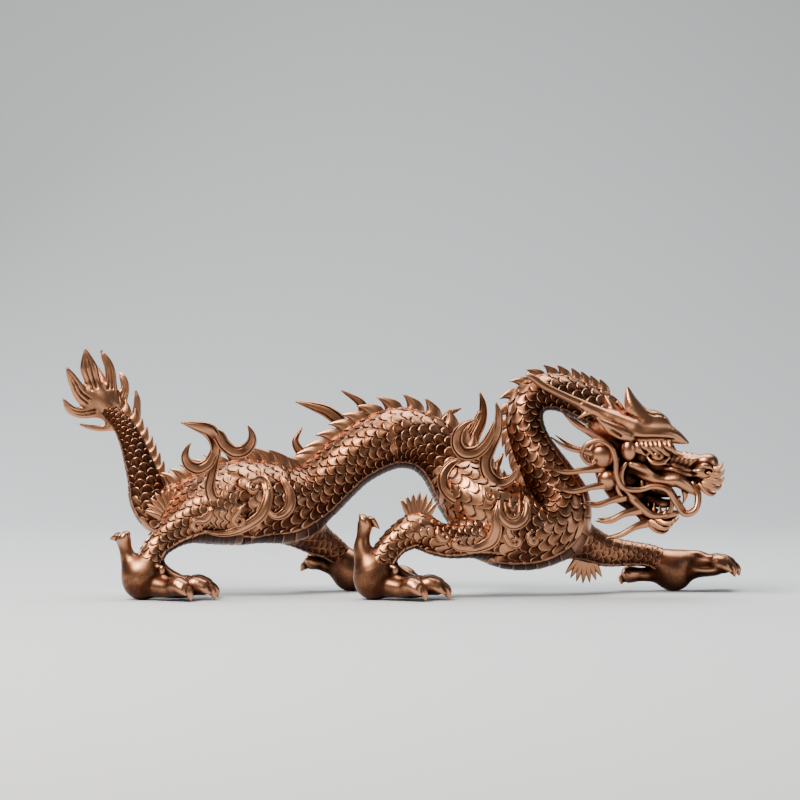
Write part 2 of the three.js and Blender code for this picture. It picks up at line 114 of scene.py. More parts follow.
# The sheet runs flat under the casting and curves up behind it. Sizes are in metres.
SHEET_WIDTH = 8.0
SHEET_FRONT = -3.0
SHEET_BACK = 1.6
SHEET_CURVE = 0.8  # radius of the bend, and the steps that it is made in
CURVE_STEPS = 12
SHEET_TOP = 3.5
profile = [(SHEET_FRONT, 0.0), (SHEET_BACK - SHEET_CURVE, 0.0)]
for step in range(1, CURVE_STEPS + 1):
    turn = math.radians(90) * step / CURVE_STEPS
    profile.append((SHEET_BACK - SHEET_CURVE + SHEET_CURVE * math.sin(turn),
                    SHEET_CURVE - SHEET_CURVE * math.cos(turn)))
profile.append((SHEET_BACK, SHEET_TOP))
sheet_points = [(side * SHEET_WIDTH / 2, y, ground + z) for y, z in profile for side in (-1, 1)]
sheet_faces = [(2 * i, 2 * i + 1, 2 * i + 3, 2 * i + 2) for i in range(len(profile) - 1)]
sheet_mesh = bpy.data.meshes.new("backdrop")
sheet_mesh.from_pydata(sheet_points, [], sheet_faces)
sheet_mesh.polygons.foreach_set("use_smooth", [True] * len(sheet_faces))
sheet_mesh.materials.append(paper)
backdrop = bpy.data.objects.new("backdrop", sheet_mesh)
bpy.context.collection.objects.link(backdrop)

# Softboxes: name, place in casting lengths from its middle, size in metres, power in watts, colour.
SOFTBOXES = [
    ("key", (-1.3, -1.7, 2.4), 0.6, 30.0, "#fff4e8"),
    ("overhead", (0.4, 0.8, 3.0), 1.0, 20.0, "#ffffff"),
    ("fill", (2.8, -2.2, 1.0), 0.6, 3.0, "#e8f0ff"),
    ("rim", (-2.2, 2.0, 1.4), 0.5, 7.0, "#ffffff"),
]
for name, place, size, power, colour in SOFTBOXES:
    light_data = bpy.data.lights.new(name, "AREA")
    light_data.size = size
    light_data.energy = power
    light_data.color = linear(colour)[:3]
    light = bpy.data.objects.new(name, light_data)
    light.location = [start + share * length for start, share in zip((middle.x, middle.y, ground), place)]
    aim = light.location - type(light.location)((middle.x, middle.y, ground + height / 2))
    light.rotation_euler = aim.to_track_quat("Z", "Y").to_euler()
    bpy.context.collection.objects.link(light)

world = bpy.data.worlds.new("room")
world.use_nodes = True
world.node_tree.nodes["Background"].inputs["Color"].default_value = linear("#c9d2da")
world.node_tree.nodes["Background"].inputs["Strength"].default_value = 0.09
bpy.context.scene.world = world

# ---------------------------------------------------------------------------------------------
# Body: a serpent's trunk, from the plume on the tail to the back of the skull.
# It is part of the one copper casting. The scales are modelled in the wax, each row lapping over
# the next towards the tail, with cross plates on the belly and a bead along each side of them.

# Rows are [x, y, z, radius] in millimetres, as the sculptor sets them out from a point near the middle.
BODY = [
    [-180, 10, 115, 2], [-176, 10, 111, 5], [-168, 8, 103, 5.9], [-162, 6, 92, 7], [-158, 4, 81, 8.2],
    [-154, 3, 69, 9.8], [-151, 2, 58, 11.8], [-143, 1, 50, 14.4], [-130, 0, 50, 17.6],
    [-113, 0, 53, 21.4], [-96, 0, 56, 24], [-79, 1, 56, 23.6], [-65, 3, 56, 21], [-52, 5, 61, 18.4],
    [-41, 6, 70, 16.9], [-29, 7, 81, 16.9], [-14, 7, 90, 17.5], [0, 7, 94, 18], [14, 6, 91, 17.4],
    [25, 4, 82, 16.4], [34, 2, 70, 16.4], [42, 0, 57, 18.2], [53, -1, 45, 21], [67, -2, 39, 23.2],
    [82, -3, 40, 23.6], [93, -3, 46, 21], [96, -3, 57, 17.8], [91, -3, 69, 15], [84, -3, 81, 13.2],
    [78, -2, 93, 11.6], [75, -1, 105, 11], [77, 0, 115, 10.8], [85, 0, 121, 10.8], [96, 0, 121, 10.8],
    [109, -1, 116, 11], [122, -2, 109, 11.2], [131, -3, 99, 8.5],
]
# The four legs from hip or shoulder to ankle; the trunk swells where they join it.
LEGS = {
    "leg_rear_right": [[-98, -8, 54, 21], [-116, -14, 50, 17], [-129, -21, 43, 12], [-138, -26, 36, 8.8],
                       [-144, -30, 29, 7.6], [-149, -32, 16, 8.5]],
    "leg_fore_right": [[62, -8, 40, 17], [46, -16, 37, 13.5], [32, -23, 34, 10.6], [22, -28, 35, 9.8],
                       [11, -30, 40, 10.8], [2, -31, 37, 9.2], [-6, -32, 30, 8], [-15, -32, 16, 9]],
    "leg_fore_left": [[94, 6, 40, 16], [111, 16, 31, 11.5], [125, 24, 25, 9.4], [141, 31, 23, 7.4],
                      [154, 35, 21, 7], [168, 37, 14, 8]],
    "leg_rear_left": [[-70, 8, 52, 19], [-61, 17, 42, 15], [-52, 25, 33, 10.4], [-43, 31, 27, 8],
                      [-36, 35, 21, 7.2], [-30, 36, 13, 8]],
}
SHOULDER_RIGHT = [[30, 0, 76, 7], [36, -6, 68, 14], [46, -10, 58, 17.5], [58, -9, 48, 18], [66, -4, 38, 12]]
SHOULDER_LEFT = [[28, 2, 78, 7], [36, 7, 70, 14], [47, 11, 61, 17.5], [62, 10, 51, 18], [78, 7, 45, 17],
                 [88, 2, 40, 11]]
ROWS_MIDDLE = np.array([3.5, 0.9, 0.0])  # where the casting's box has its middle in those places
MM = 0.001
BODY_SCALE = 7.6  # width of a scale on the trunk
BODY_COLUMNS = 184
SCALE_PITCH = 0.6  # a row of scales starts this share of a scale's width behind the last
SCALE_TAIL = 0.93  # how far a scale reaches past its row's line, as a share of the pitch
SCALE_SEAM = 0.03  # what a row stops short of the next, in millimetres
FEWEST_SCALES = 8  # round the thinnest part
# Relief of a scale, as shares of its width: the rise from root to free edge, the crown along its middle,
# the rim raised at the free edge and the line chased under it, and how far those two reach.
SCALE_LIFT = 0.12
SCALE_CROWN = 0.03
SCALE_RIM, RIM_REACH = 0.034, 0.09
SCALE_GAP, GAP_REACH = 0.05, 0.07
SCALE_STEPS = [0.0, 0.1, 0.36, 0.64, 0.88, 1.0]  # where its cross sections stand
BELLY = math.radians(41)  # half angle of the band of plates under the trunk
BELLY_EDGE = 0.04  # how gradually scales give way to plates, as a share of that angle
PLATE_EDGE = 0.5  # a plate ends straight, this share of the way down a scale
PLATE_CALM = 0.6  # how much flatter a plate is than a scale
BEAD = 0.7  # height and half width of the bead beside the plates
BACK_BAND = 2.6  # half width of the plain band that the fins stand on
BAND_EDGE = 0.1
BAND_HEIGHT = 0.1  # as a share of a scale's width
FILLET = 11.0  # reach of the swelling where a limb joins
SPAN_STEPS = 40  # points read between two rows of a table
PATH_STEPS = 900  # points read along a scaled limb
LIMB_BALLS = 50  # balls that stand for a limb where another meets it


def run_along(points):
    """How far along its path each point lies."""
    return np.concatenate([[0], np.cumsum(np.linalg.norm(np.diff(points[:, :3], axis=0), axis=1))])


def spline(rows, count):
    """Rows of numbers joined by a smooth curve and read off at equal steps of its length."""
    knots = np.array(rows, float)
    ends = np.vstack([2 * knots[0] - knots[1], knots, 2 * knots[-1] - knots[-2]])
    share = np.linspace(0, 1, SPAN_STEPS, endpoint=False)[:, None]
    spans = []
    for before, start, stop, after in zip(ends, ends[1:], ends[2:], ends[3:]):
        spans.append(start + 0.5 * share * (stop - before + share * (
            2 * before - 5 * start + 4 * stop - after + share * (3 * (start - stop) + after - before))))
    fine = np.vstack(spans + [knots[-1:]])
    run = run_along(fine)
    return np.stack([np.interp(np.linspace(0, run[-1], count), run, column) for column in fine.T], axis=1)


def unit(vectors):
    """The vectors brought to a length of 1."""
    return vectors / np.maximum(np.linalg.norm(vectors, axis=-1, keepdims=True), 1e-9)


def axes_along(points):
    """Axes of a path: along it, across it in the profile plane, and through that plane."""
    along = unit(np.gradient(points, axis=0))
    across = unit(np.cross(along, [0.0, 1.0, 0.0]))
    return along, across, unit(np.cross(across, along))


def ease(low, high, value):
    """0 below low, 1 above high, and a smooth rise between them."""
    share = np.clip((value - low) / (high - low), 0, 1)
    return share * share * (3 - 2 * share)


def distance_to(points, limb):
    """Distance from each point to a limb's skin, negative inside it."""
    nearest = np.full(len(points), np.inf)
    for x, y, z, radius in spline(limb, LIMB_BALLS):
        nearest = np.minimum(nearest, np.linalg.norm(points - [x, y, z], axis=1) - radius)
    return nearest


def scaled_skin(rows, scale_width, columns, joins, top=1, back_band=BACK_BAND, belly_half=BELLY):
    """A tapered limb under lapping scales, as rings of points.

    The scales' free edges point to the first row. The skin swells where the joins, other limbs, meet it.
    top is -1 where the belly is on the other side of the profile.
    """
    path = spline(rows, PATH_STEPS)
    run = run_along(path)
    along, across, through = axes_along(path[:, :3])
    starts, counts, pitches = [], [], []
    place = 0.0
    while place < run[-1]:
        girth = 2 * math.pi * np.interp(run[-1] - place, run, path[:, 3])
        count = max(FEWEST_SCALES, round(girth / scale_width))
        starts.append(place)
        counts.append(count)
        pitches.append(SCALE_PITCH * min(scale_width, girth / count))
        place += pitches[-1]
    turn = np.arange(columns) / columns
    angle = 2 * math.pi * turn
    belly = 1 - ease(belly_half * (1 - BELLY_EDGE), belly_half * (1 + BELLY_EDGE) + 0.001,
                     np.abs(angle - math.pi))
    edges, bows = [], []
    for i, (start, count, pitch) in enumerate(zip(starts, counts, pitches)):
        part = (count * turn + 0.5 * (i % 2)) % 1
        bow = np.sqrt(np.clip(1 - (2 * part - 1) ** 2, 0, 1))
        bows.append(bow)
        edges.append(start + SCALE_TAIL * pitch * (bow * (1 - belly) + PLATE_EDGE * belly))
    rings, lifts = [], []
    for i in range(1, len(edges)):
        first, last = edges[i - 1], edges[i]
        width = pitches[i] / SCALE_PITCH
        for step in SCALE_STEPS:
            spot = first + SCALE_SEAM + step * (last - first - 2 * SCALE_SEAM)
            share = (spot - starts[i - 1]) / (pitches[i] * (1 + SCALE_TAIL))
            rim = np.exp(-((last - spot) / (RIM_REACH * width)) ** 2)
            gap = np.exp(-((spot - first) / (GAP_REACH * width)) ** 2)
            rise = SCALE_LIFT * (share - 0.5) + SCALE_CROWN * bows[i] * (1 - belly)
            rings.append(run[-1] - spot)
            lifts.append(width * (rise + SCALE_RIM * rim - SCALE_GAP * gap) * (1 - PLATE_CALM * belly))
    rings, lifts = np.array(rings), np.array(lifts)
    read = lambda values: np.stack([np.interp(rings, run, column) for column in values.T], axis=-1)
    centre, radius = read(path[:, :3]), np.interp(rings, run, path[:, 3])
    up, aside = (top * np.cos(angle))[:, None], (top * np.sin(angle))[:, None]
    out = unit(read(across) * up - read(through) * aside)
    from_belly = (np.abs(angle - math.pi) - belly_half) * radius
    from_back = (math.pi - np.abs(angle - math.pi)) * radius
    if belly_half:
        lifts = lifts + BEAD * np.exp(-(from_belly / BEAD) ** 2)
    if back_band:
        band = 1 - ease(back_band * (1 - BAND_EDGE), back_band * (1 + BAND_EDGE) + 0.01, from_back)
        lifts = lifts * (1 - band) + BAND_HEIGHT * scale_width * band
    points = centre + out * radius[..., None]
    for limb in joins:
        away = distance_to(points.reshape(-1, 3), limb).reshape(radius.shape)
        near = np.clip(1 - np.abs(away) / FILLET, 0, 1)
        lifts = lifts + FILLET / 4 * near ** 2
    return points + out * lifts[..., None]


def ring_faces(rings, columns):
    """Quads between neighbouring rings of points."""
    ring, column = np.meshgrid(np.arange(rings - 1), np.arange(columns), indexing="ij")
    after = (column + 1) % columns
    quads = np.stack([ring * columns + column, (ring + 1) * columns + column,
                      (ring + 1) * columns + after, ring * columns + after], axis=-1)
    return quads.reshape(-1, 4)


def closed(grid):
    """A tube's rings of points closed with a point at each end, as points and lists of faces."""
    rings, columns = grid.shape[:2]
    points = np.vstack([grid.reshape(-1, 3), grid[0].mean(axis=0), grid[-1].mean(axis=0)])
    column = np.arange(columns)
    after = (column + 1) % columns
    last = (rings - 1) * columns
    fan_low = np.stack([np.full(columns, rings * columns), column, after], axis=1)
    fan_high = np.stack([np.full(columns, rings * columns + 1), last + after, last + column], axis=1)
    return points, [ring_faces(rings, columns), fan_low, fan_high]


FLAT_WEAR = 0.5  # wear of plain skin, between 0 in the hollows and 1 on the rubbed edges
WEAR_ROUNDS = 26  # rounds of smoothing, which set how wide a hollow still counts as one
WEAR_EDGE = 3.5  # edges longer than this, such as the spokes that close a tube's end, don't count
WEAR_DEPTH = 0.42  # depth of a hollow that is fully dark
BROAD_ROUNDS = 150  # the same for broad hollows
BROAD_DEPTH = 1.6
RELAX = 0.6  # how far a round of smoothing moves a point towards its neighbours
PAINTED_TOP_LIGHT = 0.22  # painted top light: tops of forms are made lighter and their undersides darker, as light from above would make them


def smoothed(values, rounds, left, right, counts):
    """Points drawn towards the mean of their neighbours, round after round."""
    for _ in range(rounds):
        total = np.stack([np.bincount(left, column[right], len(values)) for column in values.T], axis=1)
        values = (1 - RELAX) * values + RELAX * (total / counts[:, None])
    return values


def cast(name, parts, rub_and_painted_light=0.0, broad=0.0):
    """Joins parts, each (points in millimetres, lists of faces), into one piece of the copper casting.

    Its stored value for the colour is low in the hollows, where patina stays, and high on what a cloth
    reaches;
    it also holds painted top light, lighter on the tops of forms and darker on their undersides. The rub
    argument adds to it on forms that are handled more than the rest, and also carries painted light and
    painted shade: a lighter top of the head, and a darker mouth and trunk. broad is how much wide hollows
    count.
    """
    points = np.vstack([part[0] for part in parts])
    offsets = np.cumsum([0] + [len(part[0]) for part in parts])
    faces = []
    for (corners, groups), offset in zip(parts, offsets):
        fans = [(corners[group[:, 0]], corners[group[:, i]], corners[group[:, i + 1]])
                for group in groups for i in range(1, group.shape[1] - 1)]
        volume = sum(np.einsum("ij,ij->", a, np.cross(b, c)) for a, b, c in fans)
        faces += [(group if volume > 0 else group[:, ::-1]) + offset for group in groups]
    left = np.concatenate([group.T.reshape(-1) for group in faces])
    right = np.concatenate([np.roll(group, -1, axis=1).T.reshape(-1) for group in faces])
    left, right = np.concatenate([left, right]), np.concatenate([right, left])
    short = np.linalg.norm(points[left] - points[right], axis=1) < WEAR_EDGE
    left, right = left[short], right[short]
    counts = np.maximum(np.bincount(left, minlength=len(points)), 1)
    normals = np.zeros_like(points)
    for group in faces:
        a, b, c = points[group[:, 0]], points[group[:, 1]], points[group[:, -1]]
        normal = np.cross(b - a, c - a)
        for i in range(group.shape[1]):
            for axis in range(3):
                normals[:, axis] += np.bincount(group[:, i], normal[:, axis], len(points))
    normals = unit(normals)
    smooth = smoothed(points, WEAR_ROUNDS, left, right, counts)
    rise = np.einsum("ij,ij->i", points - smooth, normals)
    # The last term is painted top light: it lightens points that face up and darkens those that face down.
    wear_and_painted_light = FLAT_WEAR + rub_and_painted_light + FLAT_WEAR * rise / WEAR_DEPTH + PAINTED_TOP_LIGHT * normals[:, 2]
    if broad:
        smooth = smoothed(smooth, BROAD_ROUNDS, left, right, counts)
        wear_and_painted_light += broad * np.einsum("ij,ij->i", points - smooth, normals) / BROAD_DEPTH
    wear_and_painted_light = np.clip(wear_and_painted_light, 0, 1)

    mesh = bpy.data.meshes.new(name)
    placed = (points - ROWS_MIDDLE) * MM + [middle.x, middle.y, ground]
    sizes = np.concatenate([np.full(len(group), group.shape[1]) for group in faces])
    corners = np.concatenate([group.reshape(-1) for group in faces])
    mesh.vertices.add(len(points))
    mesh.vertices.foreach_set("co", placed.reshape(-1))
    mesh.loops.add(len(corners))
    mesh.loops.foreach_set("vertex_index", corners.astype(np.int32))
    mesh.polygons.add(len(sizes))
    mesh.polygons.foreach_set("loop_start", np.concatenate([[0], np.cumsum(sizes)[:-1]]).astype(np.int32))
    mesh.polygons.foreach_set("use_smooth", np.ones(len(sizes), bool))
    mesh.update(calc_edges=True)
    attribute = mesh.attributes.new("wear_and_painted_light", "FLOAT", "POINT")
    attribute.data.foreach_set("value", wear_and_painted_light.astype(np.float32))
    mesh.validate()
    mesh.materials.append(copper)
    piece = bpy.data.objects.new(name, mesh)
    bpy.context.collection.objects.link(piece)
    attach(piece, "root")
    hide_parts("dragon")


# Cast copper, chemically patinated a dark brown and then rubbed back with a cloth and wax:
# the hollows stay almost black and dull, the flats are a warm brown, and the high edges show pink
# copper with a soft polish.
# The value that picks these colours also holds painted light and painted shade: the tops of forms and the top
# of the head are painted lighter, the mouth and the trunk darker.
HOLLOW_BROWN = "#100603"
FLAT_BROWN = "#3f2317"
RED_BROWN = "#421f12"
RUBBED_COPPER = "#ba8463"
BROWN_FROM, BROWN_FULL = 0.08, 0.5  # wear at which black gives way to brown
COPPER_FROM, COPPER_FULL = 0.5, 1.0  # and brown to copper
DULL, POLISHED = 0.58, 0.3  # roughness in the hollows and on the edges
POLISH_FROM, POLISH_FULL = 0.1, 0.9  # wear at which the polish begins and is full
GRAIN_MM = 0.8  # grain of the cast skin, drawn coarse enough to show
GRAIN_DEPTH_MM, GRAIN_BUMP = 0.3, 0.12
GRAIN_WEAR = 0.22  # how much the grain breaks up the wear
CLOUD_MM = 26.0  # size of the clouds in the patina
CLOUD_WEAR = 0.35  # how much they shift the wear
RED_FROM, RED_FULL = 0.4, 0.65  # where a cloud turns the brown red

copper = bpy.data.materials.new("patinated_cast_copper")
copper.use_nodes = True
tree = copper.node_tree
surface = tree.nodes["Principled BSDF"]
where = shader(tree, "ShaderNodeTexCoord").outputs["Object"]
wear_and_painted_light = shader(tree, "ShaderNodeAttribute", attribute_name="wear_and_painted_light").outputs["Fac"]
clouds = shader(tree, "ShaderNodeTexNoise", {"Vector": where, "Scale": 1 / (CLOUD_MM * MM), "Detail": 4.0})
grain = shader(tree, "ShaderNodeTexNoise", {"Vector": where, "Scale": 1 / (GRAIN_MM * MM), "Detail": 3.0})
uneven = shader(tree, "ShaderNodeMath", {0: clouds.outputs["Fac"], 1: 0.5}, operation="SUBTRACT")
uneven_wear_and_painted_light = shader(tree, "ShaderNodeMath", {0: uneven.outputs[0], 1: CLOUD_WEAR, 2: wear_and_painted_light},
                     operation="MULTIPLY_ADD")
speck = shader(tree, "ShaderNodeMath", {0: grain.outputs["Fac"], 1: 0.5}, operation="SUBTRACT")
worn_and_painted_light = shader(tree, "ShaderNodeMath", {0: speck.outputs[0], 1: GRAIN_WEAR, 2: uneven_wear_and_painted_light.outputs[0]},
              operation="MULTIPLY_ADD").outputs[0]
patch = shader(tree, "ShaderNodeMapRange", {"Value": clouds.outputs["Fac"], "From Min": RED_FROM,
                                            "From Max": RED_FULL})
flat = shader(tree, "ShaderNodeMix", {"Factor": patch.outputs["Result"], "A": linear(FLAT_BROWN),
                                      "B": linear(RED_BROWN)}, data_type="RGBA")
low_part = shader(tree, "ShaderNodeMapRange", {
    "Value": worn_and_painted_light, "From Min": BROWN_FROM, "From Max": BROWN_FULL}, interpolation_type="SMOOTHSTEP")
high_part = shader(tree, "ShaderNodeMapRange", {
    "Value": worn_and_painted_light, "From Min": COPPER_FROM, "From Max": COPPER_FULL}, interpolation_type="SMOOTHSTEP")
brown = shader(tree, "ShaderNodeMix", {"Factor": low_part.outputs["Result"], "A": linear(HOLLOW_BROWN),
                                       "B": flat.outputs["Result"]}, data_type="RGBA")
colour = shader(tree, "ShaderNodeMix", {"Factor": high_part.outputs["Result"], "A": brown.outputs["Result"],
                                        "B": linear(RUBBED_COPPER)}, data_type="RGBA")
gloss = shader(tree, "ShaderNodeMapRange", {
    "Value": worn_and_painted_light, "From Min": POLISH_FROM, "From Max": POLISH_FULL, "To Min": DULL, "To Max": POLISHED})
skin = shader(tree, "ShaderNodeBump", {
    "Height": grain.outputs["Fac"], "Strength": GRAIN_BUMP, "Distance": GRAIN_DEPTH_MM * MM})
tree.links.new(colour.outputs["Result"], surface.inputs["Base Color"])
tree.links.new(gloss.outputs["Result"], surface.inputs["Roughness"])
tree.links.new(skin.outputs["Normal"], surface.inputs["Normal"])
surface.inputs["Metallic"].default_value = 1.0

# The trunk's mesh is in two halves that meet at a row of scales, on the top of the arch.
trunk = scaled_skin(BODY, BODY_SCALE, BODY_COLUMNS, [*LEGS.values(), SHOULDER_RIGHT, SHOULDER_LEFT])
waist = len(trunk) // 2 // len(SCALE_STEPS) * len(SCALE_STEPS)
# The small negative rub on both halves is painted shade: it darkens the whole trunk a little.
cast("body_fore", [closed(trunk[:waist + 1])], rub_and_painted_light=-0.05)
cast("body_rear", [closed(trunk[waist:])], rub_and_painted_light=-0.05)

# ---------------------------------------------------------------------------------------------
# Legs: four scaled copper limbs, cast with the trunk, from hip or shoulder down to the ankle.
# Their scales point down to the foot, with cross plates and a bead along the under side. The
# shoulder's muscle rises over each foreleg, under scales of the trunk's size.

LEG_SCALE = 6.6
LEG_COLUMNS = 104
LEG_TOPS = {"leg_rear_right": 1, "leg_fore_right": 1, "leg_fore_left": -1, "leg_rear_left": -1}
HAUNCH_ROW, ARCH_ROW, NECK_ROW = 6, 13, 31  # where the trunk's rows reach the haunch, the arch and the neck
for name, rows in LEGS.items():
    limb = scaled_skin(rows[::-1], LEG_SCALE, LEG_COLUMNS, [BODY[HAUNCH_ROW:NECK_ROW]], LEG_TOPS[name],
                       back_band=0)
    cast(name, [closed(limb)])
for name, rows in {"shoulder_right": SHOULDER_RIGHT, "shoulder_left": SHOULDER_LEFT}.items():
    muscle = scaled_skin(rows[::-1], BODY_SCALE, LEG_COLUMNS, [BODY[ARCH_ROW:NECK_ROW]],
                         back_band=0, belly_half=0)
    cast(name, [closed(muscle)])

# ---------------------------------------------------------------------------------------------
# Fins: a comb of flame-shaped spines on the crest of the back, from the plume to the skull.
# They are copper, cast with the trunk on a plain band. Each has grooves up its sides and a tip swept
# towards the tail.

FIN_SPACING = 7.6  # on the thick part of the trunk; closer on the neck and tail
FIN_HEIGHT = 8.8  # of the tallest, on the top of the arch
FIN_THICKNESS = 2.4  # half thickness at the root
FULL_RADIUS = 17  # of a trunk that carries the tallest fins
SMALLEST_FIN = 0.72  # as a share of the tallest
FIN_SINK = 1  # how deep its root is set into the skin
FIRST_FIN, LAST_FIN = 8, 17  # distances from the tail's tip, and from the skull
# Rise, sweep to the tail and half width, as shares of a fin's height, and thickness as a share of the root's.
FIN_PROFILE = [[-0.1, -0.1, 0.82, 1], [0.26, -0.1, 0.64, 0.8], [0.52, 0.08, 0.44, 0.6],
               [0.76, 0.34, 0.26, 0.4], [0.94, 0.6, 0.12, 0.25], [1.06, 0.86, 0.02, 0.1]]


def rib(sides, grooves, depth):
    """A lens-shaped section with shallow grooves along it, as factors of half width and half thickness."""
    turn = 2 * math.pi * np.arange(sides) / sides
    u = np.cos(turn)
    v = np.sin(turn) * (1 - depth * (0.5 + 0.5 * np.cos(2 * math.pi * grooves * u)))
    return u, v


FINEST = 0.12  # half width of the finest tip


def sweep(rows, steps, section):
    """A bar with the given section along rows of [x, y, z, half width in profile, half thickness]."""
    path = spline(rows, steps)
    along, across, out = axes_along(path[:, :3])
    u, v = section
    half = np.maximum(path[:, 3:5], FINEST)
    grid = (path[:, None, :3] + across[:, None] * (u * half[:, :1])[..., None]
            + out[:, None] * (v * half[:, 1:])[..., None])
    return closed(grid)


crest = spline(BODY, 1200)
crest_run = run_along(crest)
crest_along, crest_across, _ = axes_along(crest[:, :3])
fins = []
reached = FIRST_FIN
while reached < crest_run[-1] - LAST_FIN:
    at = np.searchsorted(crest_run, reached)
    radius = crest[at, 3]
    share = min(max(radius / FULL_RADIUS, SMALLEST_FIN), 1)
    reached += FIN_SPACING * share
    tall = FIN_HEIGHT * share
    up, back = crest_across[at], -crest_along[at]
    root = crest[at, :3] + up * (radius - FIN_SINK)
    rows = [[*(root + up * (rise * tall) + back * (swept * tall)), width * tall,
             thick * FIN_THICKNESS * tall / FIN_HEIGHT] for rise, swept, width, thick in FIN_PROFILE]
    fins.append(sweep(rows, 10, rib(sides=20, grooves=1.5, depth=0.35)))
cast("fins", fins)

# ---------------------------------------------------------------------------------------------
# Combs: a fan of grooved spikes on each elbow and hock, like a tuft of stiff hair.
# They are copper, set on the joint in the wax and cast with the leg.

# Each fan's middle in millimetres, and the way it points in the profile, in degrees from +X.
COMBS = [([10, -29, 40], 86), ([113, 18, 29], -95), ([-132, -15, 43], 125), ([-56, 27, 36], 130)]
COMB_SPIKES = 7
COMB_LENGTH = 23.5
COMB_FAN = 0.95  # angle of the fan, in radians
SPIKE_SHORTENING = 4  # what a spike at the side loses in length, for each radian off the middle
SPIKE_BEND = 3.2  # how far its tip bends outwards, for each radian
# Share of the spike's length, half width and half thickness.
SPIKE_ROWS = [[0.3, 2.3, 2.4], [0.6, 2, 1.9], [0.84, 1.3, 1.2], [1, 0.15, 0.2]]
spikes = []
for place, degrees in COMBS:
    for i in range(COMB_SPIKES):
        lean = COMB_FAN * (i / (COMB_SPIKES - 1) - 0.5)
        angle = math.radians(degrees) + lean
        reach = COMB_LENGTH - SPIKE_SHORTENING * abs(lean)
        aim = np.array([math.cos(angle), 0, math.sin(angle)])
        bend = np.array([-math.sin(angle), 0, math.cos(angle)]) * lean * SPIKE_BEND
        rows = [[*(np.array(place) + aim * reach * share + bend * share ** 2), width, thick]
                for share, width, thick in SPIKE_ROWS]
        spikes.append(sweep(rows, 9, rib(sides=16, grooves=1.5, depth=0.4)))
cast("leg_combs", spikes)

# ---------------------------------------------------------------------------------------------
# Plume: blades that fan from the tip of the tail like a flame, with a thin web between their roots.
# It is copper, cast with the tail. The founder modelled it in wax as one leaf and drew two grooves
# up each face of a blade.

# A row of a blade is [x, y, z, half width in the profile].
PLUME_BLADES = [
    [[-178, 10, 115, 4.4], [-184, 10, 124, 4.6], [-186, 9.5, 130, 4.4], [-187.6, 9, 136, 4.8],
     [-188.8, 8.5, 142, 2.8], [-189.6, 8, 147.5, 0.5]],
    [[-174, 10, 114, 4], [-174.6, 11, 124, 3.4], [-174.8, 11.5, 131.5, 2.8], [-175.7, 12, 137, 2.5],
     [-178, 12, 142, 1.9], [-180.6, 12, 147, 0.3]],
    [[-170, 11, 112, 3.4], [-167.4, 12, 119.6, 2.7], [-166.2, 12.5, 125, 2.1], [-167.4, 13, 130, 1.7],
     [-169.4, 13.5, 134, 0.3]],
    [[-162, 9, 101, 3], [-159.6, 10, 107, 2.6], [-158.8, 10, 112, 2], [-158.6, 10, 117.4, 1.5],
     [-159.6, 10, 122.6, 0.3]],
    [[-178, 10, 113, 4.4], [-187.6, 9, 116.4, 4.6], [-192.6, 8, 121, 4], [-195.6, 7, 126.6, 3.2],
     [-198.2, 6, 131.8, 2.1], [-200.4, 5, 136.6, 0.3]],
    [[-177, 10, 110.4, 3.4], [-184, 9.5, 110, 3], [-190, 8.5, 109.2, 2.8], [-195.6, 7, 110, 2.6],
     [-199.6, 6, 112.8, 2], [-202.6, 5, 118, 0.2]],
    [[-171, 9, 103, 2.4], [-175, 9, 100.8, 1.8], [-181, 9, 100, 1.4], [-188, 8, 101, 1],
     [-194.6, 7, 103, 0.1]],
    [[-177, 12, 112, 3.6], [-186, 16, 114, 3.4], [-191, 19, 119, 2.6], [-194, 20.4, 124, 1.8],
     [-196, 21, 128.6, 0.3]],
    [[-176, 13, 114, 3.6], [-179.6, 17, 121, 3.4], [-181.4, 20, 129, 2.6], [-184, 21.4, 135, 1.6],
     [-186, 22, 139.4, 0.3]],
]
PLUME_PALM = [[-170, 10, 103, 4.6], [-174, 10, 109, 6.4], [-179, 10, 116, 7.4], [-184, 10, 122, 6]]
PALM_FLATNESS, BLADE_FLATNESS = 1.6, 2.1  # how much wider than thick they are
BLADE_SKIN = 0.5  # added to a blade's half width
BLADE_WEB = 3.2  # width of the web where two blades meet
PLUME_PITCH = 0.5
GROOVE_ASIDE = 0.32  # of a groove from a blade's middle, as a share of its half width
GROOVE_HALF, GROOVE_SHARE = 0.75, 0.24  # its half width at most, and as a share of the blade's
GROOVE_SINK = -0.2  # its bar stands proud of the face by this, so that the cut is shallow
GROOVE_STRAY = 3  # a groove that lands further than this from its own face would be on another blade
FAR = 50.0  # what a block of clay holds as the distance where it is empty


